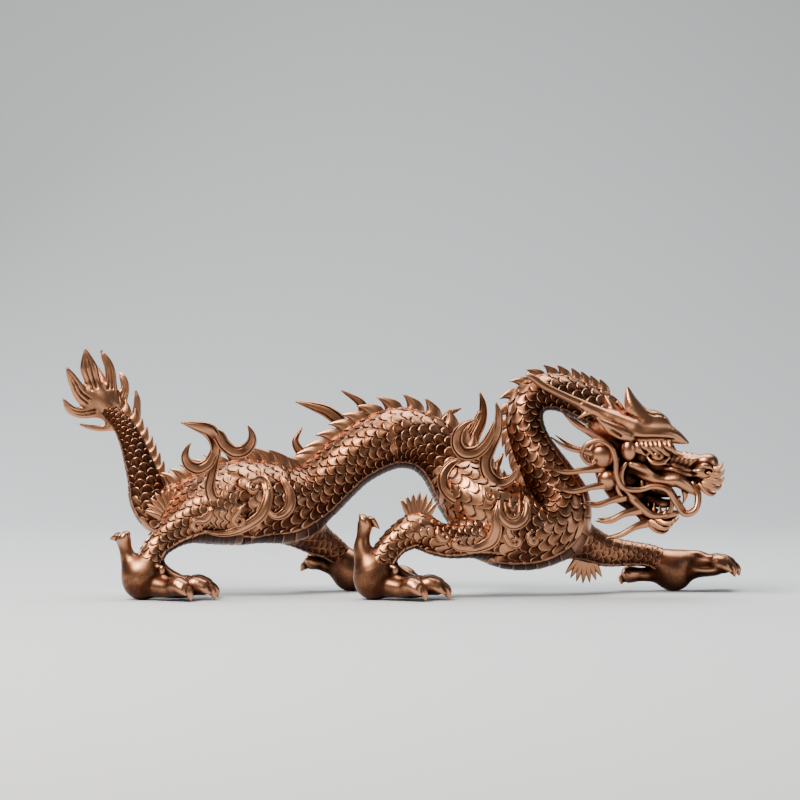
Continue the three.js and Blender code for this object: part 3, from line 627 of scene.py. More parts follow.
class Clay:
    """A block of space that shapes are blended into or carved out of, read off at last as a skin.

    low, high and pitch are its corners and the size of its cells. soft is the width of a blend.
    """

    def __init__(self, low, high, pitch):
        self.axes = [np.arange(a, b + pitch, pitch) for a, b in zip(low, high)]
        self.away = np.full([len(axis) for axis in self.axes], FAR)

    def region(self, low, high):
        """The cells between two corners, as slices and as their places."""
        spans = [slice(max(np.searchsorted(axis, a) - 1, 0), np.searchsorted(axis, b) + 1)
                 for axis, a, b in zip(self.axes, low, high)]
        places = [axis[span] for axis, span in zip(self.axes, spans)]
        return tuple(spans), np.meshgrid(*places, indexing="ij", sparse=True)

    def blend(self, spans, away, soft, carve):
        """Joins a shape's distances to the block's, or cuts them out."""
        old = -self.away[spans] if carve else self.away[spans]
        reach = np.maximum(soft - np.abs(old - away), 0) / max(soft, 1e-6)
        new = np.minimum(old, away) - reach * reach * soft / 4
        self.away[spans] = -new if carve else new

    def ball(self, at, half, soft=2.0, carve=False):
        """A ball with half its width in each direction."""
        margin = soft + 1
        spans, (x, y, z) = self.region([a - h - margin for a, h in zip(at, half)],
                                       [a + h + margin for a, h in zip(at, half)])
        x, y, z = x - at[0], y - at[1], z - at[2]
        near = np.sqrt((x / half[0]) ** 2 + (y / half[1]) ** 2 + (z / half[2]) ** 2)
        slope = np.sqrt((x / half[0] ** 2) ** 2 + (y / half[1] ** 2) ** 2 + (z / half[2] ** 2) ** 2)
        self.blend(spans, near * (near - 1) / np.maximum(slope, 1e-6), soft, carve)

    def bar(self, rows, soft=2.0, carve=False, stretch=1.0):
        """A bar along rows of [x, y, z, half width]; stretch above 1 thins it through the profile."""
        rows = spline(rows, 2 + 4 * len(rows))
        margin = soft + 1
        wide = np.array([1, 1 / max(stretch, 0.05), 1])
        radius = rows[:, 3:4]
        low = (rows[:, :3] - (radius + margin) * wide).min(axis=0)
        high = (rows[:, :3] + (radius + margin) * wide).max(axis=0)
        spans, (x, y, z) = self.region(low, high)
        best = np.full(np.broadcast_shapes(x.shape, y.shape, z.shape), FAR)
        for (ax, ay, az, ar), (bx, by, bz, br) in zip(rows[:, :4], rows[1:, :4]):
            dx, dy, dz = bx - ax, (by - ay) * stretch, bz - az
            px, py, pz = x - ax, (y - ay) * stretch, z - az
            share = np.clip((px * dx + py * dy + pz * dz) / max(dx * dx + dy * dy + dz * dz, 1e-9), 0, 1)
            gap = np.sqrt((px - share * dx) ** 2 + (py - share * dy) ** 2 + (pz - share * dz) ** 2)
            np.minimum(best, gap - ar - share * (br - ar), out=best)
        self.blend(spans, best, soft, carve)

    def drape(self, rows, axis, sink=0.0, side=1):
        """The rows laid on the block's skin from one side along an axis, and sunk into it."""
        draped = spline(rows, 3 * len(rows))
        for row in draped:
            at = [min(np.searchsorted(line, place), len(line) - 1) for line, place in zip(self.axes, row)]
            column = np.moveaxis(self.away, axis, -1)[tuple(at[:axis] + at[axis + 1:])]
            inner = np.flatnonzero(column < 0)
            if not len(inner):
                continue
            last = inner[-1] if side > 0 else inner[0]
            beyond = last + side
            if 0 <= beyond < len(column):
                share = column[last] / (column[last] - column[beyond])
                line = self.axes[axis]
                row[axis] = line[last] + share * (line[beyond] - line[last]) - side * sink
        return draped

    def above(self, level):
        """Cuts the block flat at a level."""
        self.away = np.maximum(self.away, level - self.axes[2])

    def both_sides(self):
        """Mirrors a block that starts at y = 0."""
        self.away = np.concatenate([self.away[:, :0:-1], self.away], axis=1)
        self.axes[1] = np.concatenate([-self.axes[1][:0:-1], self.axes[1]])

    def skin(self):
        """One point for each cell that the surface crosses, and a quad across each crossed edge."""
        away = np.pad(self.away[1:-1, 1:-1, 1:-1], 1, constant_values=0.01)
        inside = away < 0
        sizes = [n - 1 for n in away.shape]
        corners = [(i, j, k) for i in (0, 1) for j in (0, 1) for k in (0, 1)]
        count = sum(inside[i:i + sizes[0], j:j + sizes[1], k:k + sizes[2]].astype(np.int8)
                    for i, j, k in corners)
        cells = np.argwhere((count > 0) & (count < 8))
        total, crossings = np.zeros((len(cells), 3)), np.zeros(len(cells))
        for a in corners:
            for axis in range(3):
                if a[axis]:
                    continue
                b = tuple(a[n] + (n == axis) for n in range(3))
                start = away[tuple((cells + a).T)]
                stop = away[tuple((cells + b).T)]
                crossed = (start < 0) != (stop < 0)
                share = np.where(crossed, start / np.where(crossed, start - stop, 1), 0)
                spot = np.array(a, float) + share[:, None] * (np.array(b) - np.array(a))
                total += spot * crossed[:, None]
                crossings += crossed
        spots = cells + total / crossings[:, None]
        points = np.stack([np.interp(spots[:, n], np.arange(len(line)), line)
                           for n, line in enumerate(self.axes)], axis=1)
        number = np.full(sizes, -1)
        number[tuple(cells.T)] = np.arange(len(cells))
        quads = []
        for axis in range(3):
            ahead = [slice(None)] * 3
            behind = [slice(None)] * 3
            ahead[axis], behind[axis] = slice(1, None), slice(None, -1)
            edges = np.argwhere(inside[tuple(ahead)] != inside[tuple(behind)])
            u, v = np.eye(3, dtype=int)[(axis + 1) % 3], np.eye(3, dtype=int)[(axis + 2) % 3]
            ring = np.stack([number[tuple((edges - du * u - dv * v).T)]
                             for du, dv in ((1, 1), (0, 1), (0, 0), (1, 0))], axis=1)
            outward = inside[tuple(edges.T)]
            ring[~outward] = ring[~outward][:, ::-1]
            quads.append(ring)
        return points, [np.vstack(quads)]


clay = Clay([-207, -1, 96], [-154, 26, 152], PLUME_PITCH)
clay.bar(PLUME_PALM, 2, stretch=PALM_FLATNESS)
for rows in PLUME_BLADES:
    clay.bar([[x, y, z, half + BLADE_SKIN] for x, y, z, half in rows], BLADE_WEB, stretch=BLADE_FLATNESS)
# The grooves are laid on the faces before any is cut. One is left out where another blade covers it.
grooves = []
for rows in PLUME_BLADES:
    for side in (-1, 1):
        for aside in (-GROOVE_ASIDE, GROOVE_ASIDE):
            line = []
            for (x, y, z, half), (dx, _, dz) in zip(rows, np.gradient(np.array(rows)[:, :3], axis=0)):
                shift = aside * half / math.hypot(dx, dz)
                face = y + side * (half + BLADE_SKIN) / BLADE_FLATNESS
                line.append([x - dz * shift, face, z + dx * shift, min(GROOVE_HALF, GROOVE_SHARE * half)])
            own_face = spline(line[1:], 3 * len(line[1:]))[:, 1]
            draped = clay.drape(line[1:], 1, GROOVE_SINK, side)
            grooves.append(draped[np.abs(draped[:, 1] - own_face) < GROOVE_STRAY])
for line in grooves:
    if len(line) > 2:
        clay.bar(line, 0.8, carve=True)
cast("tail_plume", [clay.skin()], rub_and_painted_light=0.3)

# ---------------------------------------------------------------------------------------------
# Flames: curled ribbons with raised edges that stand off the hips and the shoulders.
# They are copper, bent from strips of wax, joined to the body by their roots and cast in one with it.

# Rows are [x, y, z, half width in the profile, half thickness].
HIP_FLAME = [
    [[-89.4, -20, 66.6, 0.4, 0.8], [-93.4, -23, 63.6, 1.7, 1.6], [-98, -25, 60.4, 2.6, 1.8],
     [-104, -27, 57.6, 3.1, 1.9], [-109.4, -28, 58.6, 3.2, 1.9], [-111.8, -28, 65, 2.8, 1.9],
     [-111, -28, 72, 2.4, 1.9], [-109.4, -28, 79, 2.3, 1.9], [-108.2, -29, 87, 2.7, 1.9],
     [-108.6, -30, 94, 3.5, 1.9], [-112.4, -32, 99.4, 3.7, 1.7], [-119.6, -33.4, 101.8, 2.4, 1.4],
     [-128.4, -34, 104, 0.4, 0.6]],
    [[-111, -31, 99, 2.2, 1.4], [-106.6, -30.4, 96, 3.2, 1.7], [-103, -30, 90.6, 3.2, 1.8],
     [-97.4, -30, 86.6, 3.3, 1.8], [-91.4, -30, 87.4, 3.3, 1.7], [-87.4, -31, 92, 2.7, 1.5],
     [-87, -31.6, 97, 1.7, 1.2], [-89.4, -32, 102.4, 0.3, 0.6]],
    [[-108.6, -29, 90, 1.9, 1.5], [-110, -29, 84.6, 2.6, 1.8], [-113, -29.4, 79.4, 3, 1.8],
     [-118.4, -30, 76.8, 3.3, 1.8], [-123.6, -31, 78.8, 3, 1.6], [-126, -32, 83.2, 2.2, 1.4],
     [-125.2, -32.4, 88, 1.3, 1], [-122.6, -33, 92, 0.3, 0.6]],
]
SHOULDER_FLAME = [
    [[56.6, -22, 116, 0.4, 0.6], [58.4, -22, 108, 1.9, 1.5], [57.6, -21, 98.5, 2.6, 1.9],
     [53.4, -20, 89, 3.1, 1.9], [50.4, -20, 80.6, 3.4, 2], [52.4, -20, 72.6, 3.4, 2], [59, -20, 68, 3, 1.9],
     [66.4, -21, 71, 2.1, 1.6], [71, -22, 78.8, 0.4, 0.6]],
    [[56.8, -21, 104, 1.6, 1.4], [54.6, -21, 98, 2.4, 1.8], [50.6, -21, 91, 2.9, 1.9],
     [44.6, -21, 86, 3.3, 1.9], [37.6, -21.4, 85.8, 3.4, 1.9], [33.6, -22, 91, 3.3, 1.8],
     [34.4, -23, 98, 2.7, 1.6], [39, -23.6, 103, 1.7, 1.2], [45.4, -24, 106, 0.4, 0.6]],
    [[54.6, -18, 57.6, 0.4, 0.8], [49.4, -21, 60.4, 2, 1.8], [41, -22, 58.4, 2.7, 2],
     [32.6, -21.4, 59, 3, 2], [26.8, -19.6, 64.4, 3, 2], [25.6, -18.4, 71.8, 2.8, 1.9],
     [29.8, -17.4, 78.6, 2.2, 1.6], [37.4, -18, 83, 0.4, 0.7]],
]
LEFT_HIP_FLAME = [
    [[-68, 18, 60, 2.4, 1.9], [-54, 25, 74, 2.9, 2], [-42, 30, 88, 3, 2], [-35, 32, 100, 3.4, 2],
     [-43, 33, 109, 3.4, 1.9], [-54, 33.6, 113.4, 2.2, 1.4], [-64, 34, 116, 0.4, 0.6]],
    [[-38, 31, 90, 2, 1.6], [-30, 31.6, 96.6, 2.9, 1.9], [-23, 32.4, 106, 3.1, 1.9],
     [-24, 33, 115, 2.4, 1.6], [-36, 34, 123, 0.4, 0.6]],
    [[-43, 29, 87, 2, 1.6], [-51, 29.4, 82.6, 2.9, 1.9], [-60, 30, 85, 2.7, 1.8], [-64, 31, 92, 1.8, 1.4],
     [-60, 32, 100, 0.4, 0.6]],
]
LEFT_SHOULDER_SHIFT = (-8, 6)  # of the left shoulder's flame from the right's, along and up
FLAME_WIDTH = 1.18  # the ribbons' width over those rows'
# The ribbon's section, as shares of its half width and half thickness: the level of its face, the groove
# inside each edge and the edge itself, each with its place, its reach and its depth or rise.
FACE_LEVEL = 0.8
GROOVE = (0.62, 0.1, 0.22)
EDGE = (0.84, 0.09, 0.2)
SQUARE_U, SQUARE_V = 0.85, 0.4  # powers that square off its outline; 1 is an oval


def mirrored(rows):
    """The same rows on the other side of the profile."""
    return [[x, -y, *rest] for x, y, *rest in rows]


def ribbon(sides):
    """A flat section with a raised edge on each side, as factors of half width and half thickness."""
    turn = 2 * math.pi * np.arange(sides) / sides
    u = np.sign(np.cos(turn)) * np.abs(np.cos(turn)) ** SQUARE_U
    v = np.sign(np.sin(turn)) * np.abs(np.sin(turn)) ** SQUARE_V
    groove, edge = [size * np.exp(-((np.abs(u) - place) / reach) ** 2)
                    for place, reach, size in (GROOVE, EDGE)]
    return u, v * (FACE_LEVEL - groove + edge)


left_shoulder_flame = [mirrored([[x + LEFT_SHOULDER_SHIFT[0], y, z + LEFT_SHOULDER_SHIFT[1], *rest]
                                 for x, y, z, *rest in rows]) for rows in SHOULDER_FLAME]
for name, flame in {"hip_flame_right": HIP_FLAME, "shoulder_flame_right": SHOULDER_FLAME,
                    "hip_flame_left": LEFT_HIP_FLAME, "shoulder_flame_left": left_shoulder_flame}.items():
    wide = [[[x, y, z, half * FLAME_WIDTH, thick] for x, y, z, half, thick in rows] for rows in flame]
    cast(name, [sweep(rows, 56, ribbon(40)) for rows in wide], rub_and_painted_light=0.12)

# ---------------------------------------------------------------------------------------------
# Scrolls: raised bands that lie on the haunches and the shoulders and curl at their ends.
# They are copper, laid over the scales as strips of wax with raised edges and cast with the body.

SCROLL_RISE = 1.7  # height of a full band over the skin
SCROLL_FULL = 1.5  # half width of a full band; narrower ones rise less
SCROLL_LEAST = 0.4  # rise of the narrowest, as a share of the full rise
SCROLL_WIDTH = 1.35  # the bands' width over their rows'
LEFT_HAUNCH, LEFT_SHOULDER = (18, 0), (4, 0)  # shift of the left side's, whose legs stand further on
CURL_HALF = (1.5, 0.6)  # half width of a curl's start and end
CURL_CLOSE = 0.72  # share of its radius that a curl winds inwards


def curl(x, z, radius, start, turn):
    """Rows that wind inwards round (x, z), from a start angle through a turn, both in degrees."""
    share = np.linspace(0, 1, 9)
    angle = np.radians(start + turn * share)
    reach = radius * (1 - CURL_CLOSE * share)
    half = CURL_HALF[0] - (CURL_HALF[0] - CURL_HALF[1]) * share
    return [[x + r * math.cos(a), z + r * math.sin(a), h] for a, r, h in zip(angle, reach, half)]


# Rows are [x, z, half width] in the profile, as seen from the right.
HAUNCH_SCROLLS = [
    [[-82, 78.8, 0.4], [-82, 73.6, 1.2], [-79, 67.7, 1.9], [-77.6, 61.8, 2.2], [-79, 55.1, 2.4],
     [-82, 49.2, 2.5], [-87.6, 44.7, 2.4], [-94.6, 40.8, 2], [-102, 38.6, 1.5], [-109.4, 38.8, 1.1],
     [-115.4, 40.4, 0.4]],
    [[-78.6, 64, 1.6], [-79.6, 68, 1.7], [-82.4, 70.4, 1.7], *curl(-86, 66, 3.6, 80, 440)],
    [[-71.3, 72.9, 0.4], [-68, 67.7, 1.4], [-65, 61.8, 2.1], [-65, 55.1, 2.4], [-68.7, 50, 2.2],
     [-73.9, 48.5, 1.5], [-77.4, 51.6, 1], [-77.4, 54.4, 0.4]],
    [[-111.2, 54.5, 0.4], [-111.6, 50, 1.8], [-114.6, 47, 2.3], *curl(-119, 43.4, 3.4, 70, 400)],
    [[-90.9, 56, 0.4], [-94, 52.8, 1.1], *curl(-94.4, 46, 3.8, 130, 420)],
]
SHOULDER_SCROLLS = [
    [[49.4, 66, 0.4], [49.9, 61.6, 1.1], *curl(53.4, 60.2, 2.8, 200, 330)],
    [[58.4, 58, 0.4], [59.1, 50, 1.6], [62.8, 44.8, 2.1], [68, 43.6, 2.3], [73.2, 47, 2.3], [75, 53.7, 1.6],
     [74, 60, 0.4]],
    [[61.8, 57, 0.3], [62.8, 50.6, 0.8], [66.4, 47.8, 0.9], [70, 50.6, 0.8], [70.6, 57, 0.3]],
    [[64.8, 59, 0.3], [65, 54.4, 0.7], [66.8, 52.4, 0.7], [68.4, 55, 0.3]],
    [[57.7, 58, 0.4], [56, 49.2, 1.6], [56.6, 41.8, 2.6], [54.2, 34.8, 2.9], [49, 31.4, 2.4],
     [43, 29.6, 1.8], [37.4, 30, 1.4], *curl(34.6, 33.8, 3.2, 260, -330)],
    [[22, 43, 0.4], [22.2, 38.6, 1.1], *curl(26, 37.4, 3, 190, 350)],
    [[62, 42, 0.3], [61.8, 37, 1.3], [64.4, 32.6, 1.7], *curl(68.4, 34, 3, 220, 330)],
    [[78, 41, 0.3], [75.4, 37, 1.2], *curl(79, 34.6, 2.8, 160, 330)],
]


START_ASIDE = 60.0  # a line through the profile starts here, well clear of the skin
LINE_STEPS = 14
STEP_IN, STEP_OUT = 40, 4  # the longest steps along it


def on_skin(x, z, side):
    """Where lines through the profile at (x, z) meet the trunk or a leg, from the given side.

    Each step along a line is nine tenths of the distance that is left.
    """
    points = np.stack([x, np.full(len(x), side * START_ASIDE), z], axis=1)
    for _ in range(LINE_STEPS):
        away = np.full(len(points), FAR)
        for limb in [BODY[HAUNCH_ROW - 1:NECK_ROW], *LEGS.values(), SHOULDER_RIGHT, SHOULDER_LEFT]:
            limb_away = distance_to(points, limb)
            swell = np.maximum(FILLET - np.abs(away - limb_away), 0) / FILLET
            away = np.minimum(away, limb_away) - swell ** 2 * FILLET / 4
        points[:, 1] -= side * np.clip(away - SCALE_LIFT * BODY_SCALE, -STEP_OUT, STEP_IN) * 0.9
    return points


def scroll(rows, side, shift=(0, 0)):
    """A raised band that lies on the skin."""
    flat = spline([[x + shift[0], 0, z + shift[1], half * SCROLL_WIDTH] for x, z, half in rows], 60)
    points = on_skin(flat[:, 0], flat[:, 2], side)
    for _ in range(3):
        points[1:-1, 1] = (points[:-2, 1] + 2 * points[1:-1, 1] + points[2:, 1]) / 4
    rise = SCROLL_RISE * np.clip(flat[:, 3] / SCROLL_FULL, SCROLL_LEAST, 1)
    return sweep(np.column_stack([points, flat[:, 3], rise]), 90, ribbon(20))


# The left shoulder has only the scrolls that the foreleg, stretched forwards, leaves room for.
cast("haunch_scrolls_right", [scroll(rows, -1) for rows in HAUNCH_SCROLLS])
cast("haunch_scrolls_left", [scroll(rows, 1, LEFT_HAUNCH) for rows in HAUNCH_SCROLLS])
cast("shoulder_scrolls_right", [scroll(rows, -1) for rows in SHOULDER_SCROLLS])
cast("shoulder_scrolls_left", [scroll(rows, 1, LEFT_SHOULDER) for rows in SHOULDER_SCROLLS[:4]])

# ---------------------------------------------------------------------------------------------
# Feet: smooth copper paws, rubbed bright, with a round heel, three knuckled toes and a spur behind.
# Each toe ends in a sheath that opens over a hooked claw. They are modelled in the wax and cast with
# the legs, and the heel's underside is filed flat.

# at is the heel's place on the table, and lift is how far the toes are raised. A toe is [its turn from
# +X in radians, its reach from the heel], and a row of a spur is [x, y, z, half width].
FEET = {
    "foot_rear_right": {
        "at": [-151, -32], "lift": 0, "leg": "leg_rear_right",
        "toes": [[-0.56, 35.8], [-0.16, 44], [0.2, 45]],
        "spur": [[-153, -32, 14, 9], [-158.4, -32, 22.5, 5.4], [-160.8, -32, 29, 3.9], [-162.2, -32, 35, 4.4],
                 [-165.6, -32, 36.8, 2.8], [-170.4, -32, 35.4, 0.5]]},
    "foot_fore_right": {
        "at": [-15, -32], "lift": 0, "leg": "leg_fore_right",
        "toes": [[-0.56, 35.8], [-0.16, 45], [0.2, 46]],
        "spur": [[-17, -32, 18, 9], [-21.8, -32, 29, 5.6], [-21.6, -32, 37, 4], [-20.4, -32, 44, 4.6],
                 [-17, -32, 46, 2.8], [-12, -32, 41.6, 0.5]]},
    "foot_fore_left": {
        "at": [168, 37], "lift": 8, "leg": "leg_fore_left",
        "toes": [[-0.2, 38], [0.08, 41.6], [0.36, 41]],
        "spur": [[164, 37, 11, 7], [154, 37, 10, 4.6], [147, 37, 10, 4.4], [141, 37, 10, 5.4],
                 [137, 37, 8, 3.4], [136, 37, 4, 0.5]]},
    "foot_rear_left": {
        "at": [-30, 36], "lift": 1, "leg": "leg_rear_left",
        "toes": [[-0.2, 41], [0.12, 43], [0.46, 36.8]],
        "spur": [[-34, 36, 13, 7], [-43, 36, 15, 4.8], [-49, 36, 17, 4.4], [-54, 36, 18, 5],
                 [-58, 36, 16, 3], [-61, 36, 12, 0.5]]},
}
HEEL_HALF = [12, 10.5, 11.4]
HEEL_HEIGHT = 11.2
ANKLE_SLIMMER = 0.9  # the paw's ankle is set into the scaled leg by this
WEB_HALF = [13, 11, 4.2]
# Rows of [distance from the heel, height, share of the toes' lift, half width].
INSTEP = [[-2, 16, 0, 9], [9, 12.5, 0.5, 8.5], [24, 8, 1, 5.5]]
# Forms along a toe, as rows of [share of its reach, height, half width, distance aside].
TOE = [[0.15, 9, 7], [0.45, 7.4, 5.6], [0.6, 7.6, 5.2], [0.72, 8.8, 5.8], [0.82, 8, 5]]
SHEATH = [[0.74, 8.6, 3, 2.4], [0.85, 7.2, 2.6, 2.9], [0.93, 4.4, 0.8, 2.7]]
TENDON = [[0.4, 14.4, 1.9], [0.52, 12.6, 1.7], [0.62, 12.8, 1.3]]
KNUCKLE_CREASE = [[0.6, 0, 0.5, -4], [0.63, 0, 0.6], [0.6, 0, 0.5, 4]]
CLAW = [[0.8, 7.6, 3.6], [0.89, 7.2, 3.2], [0.96, 4.8, 2.3], [0.985, 1.2, 0.6]]
FOOT_PITCH = 0.6

for name, foot in FEET.items():
    heel_x, heel_y = foot["at"]
    lift = foot["lift"]
    spur = np.array(foot["spur"])
    ankle = LEGS[foot["leg"]][-2:]
    top = max(spur[:, 2].max() + 8, ankle[0][2] + ankle[0][3] + 3)
    clay = Clay([min(heel_x - 15, spur[:, 0].min() - 4), heel_y - 26, -1], [heel_x + 50, heel_y + 26, top],
                FOOT_PITCH)
    clay.ball([heel_x, heel_y, HEEL_HEIGHT], HEEL_HALF, 3)
    clay.bar([[heel_x + x, heel_y, z + lift * share, half] for x, z, share, half in INSTEP], 4)
    clay.bar([[x, y, z, radius - ANKLE_SLIMMER] for x, y, z, radius in ankle]
             + [[heel_x + 1, heel_y, 14, 7]], 6)
    clay.ball([heel_x + 20, heel_y, 5.5 + lift], WEB_HALF, 4)
    for turn, reach in foot["toes"]:
        toward = np.array([math.cos(turn), math.sin(turn)])
        aside = np.array([-toward[1], toward[0]])

        def on_toe(share, z, half, off=0.0):
            x, y = np.array([heel_x, heel_y]) + toward * reach * share + aside * off
            return [x, y, z + lift * min(1, share * 3), half]

        clay.bar([on_toe(*row) for row in TOE], 1.6)
        for off in (-1, 1):
            clay.bar([on_toe(share, z, half, off * aside_by) for share, z, half, aside_by in SHEATH], 0.8)
        clay.bar([[heel_x + 8, heel_y + 9 * turn, 19.6 + lift * 0.3, 1.2],
                  [heel_x + 12, heel_y + 14 * turn, 18.8 + lift * 0.5, 1.7],
                  *[on_toe(*row) for row in TENDON]], 2)
        clay.bar(clay.drape([on_toe(*row) for row in KNUCKLE_CREASE], 2), 0.8, carve=True)
        clay.bar([on_toe(*row) for row in CLAW], 0.3)
    clay.bar(foot["spur"][:4], 3)
    # The spur's sheath opens in two lips that turn back, and its claw hooks out between them.
    end = spur[3, :3]
    rise = unit(end - spur[2, :3])
    hook = unit(spur[5, :3] - end)
    for off in (-1, 1):
        side = np.array([0, off, 0])
        clay.bar([[*(end - rise * 5 + side * 1.2), 2.4], [*(end + side * 3), 3.3],
                  [*(end + rise * 2.6 - hook * 1.5 + side * 3.4), 2.7],
                  [*(end + rise * 4.4 - hook * 3.6 + side * 3.2), 1.1]], 1.6)
    clay.bar([[*(end + rise * 1.5 - hook), 1.2], [*(end + rise * 6 - hook * 2), 2]], 0.8, carve=True)
    clay.bar([[*end, 3.4], [*spur[4, :3], 2.8], [*spur[5, :3], 0.4]], 0.3)
    clay.above(0)
    cast(name, [clay.skin()], rub_and_painted_light=0.04)

# ---------------------------------------------------------------------------------------------
# Head: a skull with a bossed brow, deep-set eyes, a wrinkled snout and an open mouth with teeth and
# tongue. It is copper, cast with the neck, and the finest modelling of the wax.

# Places are in the head's own frame: origin at the back of the skull, +X forwards, and what is one of a
# pair is written for the left side, at +Y. A bar's rows are [x, y, z, half width].

HEAD_PLACE = np.array([118.0, -3.0, 110.0])
HEAD_YAW = math.radians(-8)
HEAD_PITCH = 0.55


def head_to_body(points):
    """Points moved from the head's frame to the body's."""
    x, y, z = points.T
    turned = np.stack([x * math.cos(HEAD_YAW) - y * math.sin(HEAD_YAW),
                       x * math.sin(HEAD_YAW) + y * math.cos(HEAD_YAW), z], axis=1)
    return turned + HEAD_PLACE


head = Clay([-14, 0, -72], [78, 24, 17], HEAD_PITCH)
# Skull, crown, throat and snout.
head.ball([22, 0, -17], [20, 13, 14])
head.ball([9, 0, -8], [16, 11, 10], 4)
head.ball([30.5, 0, -10], [14, 9, 11.6], 4)
head.ball([31, 5, -9], [12.5, 6.5, 10], 2)
head.ball([13, 0, -32], [15, 12.5, 18], 5)
head.bar([[28, 0, -27, 12.5], [42, 0, -32, 9.5], [54, 0, -34, 8.6], [66, 0, -37, 7.6]], 3)
# Horn root, its prong and the two points of the crest.
head.bar([[22, 8.5, -9, 6], [10, 9, -4.5, 5.2], [2, 9.5, -0.5, 3.9], [-8, 11, 4, 3.2]], 2)
head.bar([[-1, 10, 1, 2.6], [-6, 12, -1, 1.8], [-11, 13, -4, 0.4]], 1)
head.bar([[13, 6, -4, 4.4], [9, 7, 3, 2.8], [5, 7, 10, 0.4]], 2)
head.bar([[28, 6, -5, 6.2], [21, 7, 4, 4.4], [18, 7, 15, 0.5]], 1.5)
# Brow and the eye under it, with its lids.
head.bar([[15, 9.5, -10, 4], [24, 10.6, -12.6, 5.2], [34, 10.2, -13.4, 5.2], [43, 8, -13.6, 4.8],
          [49, 7.5, -16, 3], [54.3, 7.5, -18.6, 0.5]], 5)
for axis, crease in [
        (2, [[25, 6, 0, 0.5], [30, 8, 0, 0.7], [35, 8.4, 0, 0.7], [40, 6.4, 0, 0.5]]),
        (1, [[16, 0, -14.6, 0.5], [26, 0, -15.4, 0.7], [36, 0, -15.4, 0.7], [46, 0, -16.2, 0.5]])]:
    head.bar(head.drape(crease, axis), 1, carve=True)
head.ball([37, 12.5, -25.5], [6.8, 4.5, 4.6], 1.5, carve=True)
head.ball([36.5, 9.8, -26], [4.4, 4.2, 4.2], 0.3)
head.bar([[30, 11.6, -25.6, 0.9], [33.5, 13.2, -22.6, 1.1], [39, 13, -22.4, 1.1], [43, 11, -25.2, 0.9]], 0.6)
head.bar([[30, 11.6, -26.4, 0.9], [33.5, 13.2, -29.8, 1.3], [39, 13, -30.2, 1.3], [43.4, 11, -27, 0.9]], 0.6)
head.ball([37.5, 14, -26], [1.3, 1.0, 1.3], 0.4, carve=True)
# Cheek: the ball behind the eye, the lobes, the ear and the folds at the corner of the mouth.
head.ball([19.5, 13.2, -22.5], [4.8, 4.4, 6.6], 0.8)
head.ball([3.5, 11.5, -25.5], [8.4, 6.6, 8.6], 1)
head.ball([7, 10.3, -40], [6.5, 5.8, 6.5], 1)
head.bar([[20, 12.5, -15, 4.2], [10, 16, -10, 3.8], [1.2, 19.2, -3.6, 0.6]], 1.2)
head.bar([[15, 18.4, -14.5, 1.4], [9, 20.4, -10.6, 1.6], [4, 21, -6, 0.5]], 0.8, carve=True)
head.bar([[21, 12, -31, 2.4], [28, 12.2, -33.5, 2.7], [35.6, 11, -37.8, 0.7]], 0.6)
head.bar([[19, 12.4, -29, 1.3], [15.5, 12.8, -35, 1.6], [16, 12, -43, 1.6], [21, 9.6, -50, 1.3]], 0.8)
head.bar([[13, 12, -28, 1.2], [11.5, 12.6, -34, 1.4], [13, 11.8, -46, 1.4], [17, 9, -52, 1.1]], 0.8)
# Bridge of the nose, its wrinkles and the nostrils.
head.bar([[40, 4, -24, 4], [48, 4.5, -27.4, 3.4], [58, 4.5, -29.4, 3.2]], 4)
for i in range(5):
    x = 46 + 3 * i
    wrinkle = [[x, 0, -27.4 - 0.2 * i, 1.2], [x - 1.6, 0, -29.4, 1.3], [x - 4.4, 0, -33.4, 0.7]]
    head.bar(head.drape(wrinkle, 1, 0.3), 1)
    if x > 50:
        head.bar(head.drape([[x + 1, 0, 0, 1], [x + 0.8, 2, 0, 1.2], [x + 0.4, 4, 0, 1.2]], 2, 0.3), 1)
head.ball([66.8, 0, -29.8], [5.2, 5, 5], 2)
head.ball([65, 4, -30.4], [6.8, 4.8, 5.6], 2.5)
head.ball([47, 5.6, -37], [10, 5, 4.8], 3)
head.ball([63, 7.4, -35.4], [5, 3.4, 4.2], 1.2)
head.bar([[59.5, 8, -33.6, 1.3], [63.4, 9.8, -31.6, 1.5], [67.6, 9, -33.4, 1.5], [69, 7.4, -36.6, 1.3]], 0.7)
head.ball([66.2, 9.6, -35.2], [2.6, 2, 1.7], 0.6, carve=True)
# Folds that run back from the nostril to the corner of the eye and of the mouth.
for front, back in [(-35, -31.5), (-37.6, -34.2)]:
    fold = [[60, 0, front, 0.6], [54, 0, front + 0.6, 1.1], [46, 0, back, 1.1], [41, 0, back + 0.8, 0.5]]
    head.bar(head.drape(fold, 1, 0.2), 0.9)
# Upper lip, the mouth behind it and the lower jaw.
head.bar([[21, 9.6, -34, 2.6], [33.5, 10, -39.4, 2.9], [44, 9.2, -41, 3.2]], 2.4)
head.bar([[44, 9, -40.5, 3.2], [49, 9, -41, 4], [55, 7.6, -45, 3.2], [59, 5.6, -48.6, 1.2]], 2.2)
head.bar([[18, 0, -45.5, 1], [30, 0, -49, 3.2], [44, 0, -52, 4.6]], 1.2, carve=True, stretch=0.05)
head.bar([[13, 0, -46, 8], [24, 0, -55, 6.4], [33, 0, -62.5, 5.4]], 3)
head.bar([[16, 8, -46.5, 2.6], [24, 7.4, -54, 2.8], [32, 6.2, -60.6, 2.6], [40, 5.2, -61.4, 2.1],
          [46.5, 2.6, -60.4, 1.9], [47, 0, -60.4, 1.9]], 1.4)
head.bar([[30, 0, -62.5, 5], [44, 0, -63.4, 2.6]], 2)
head.ball([34.5, 0, -65.6], [4.4, 5, 3.8], 2)
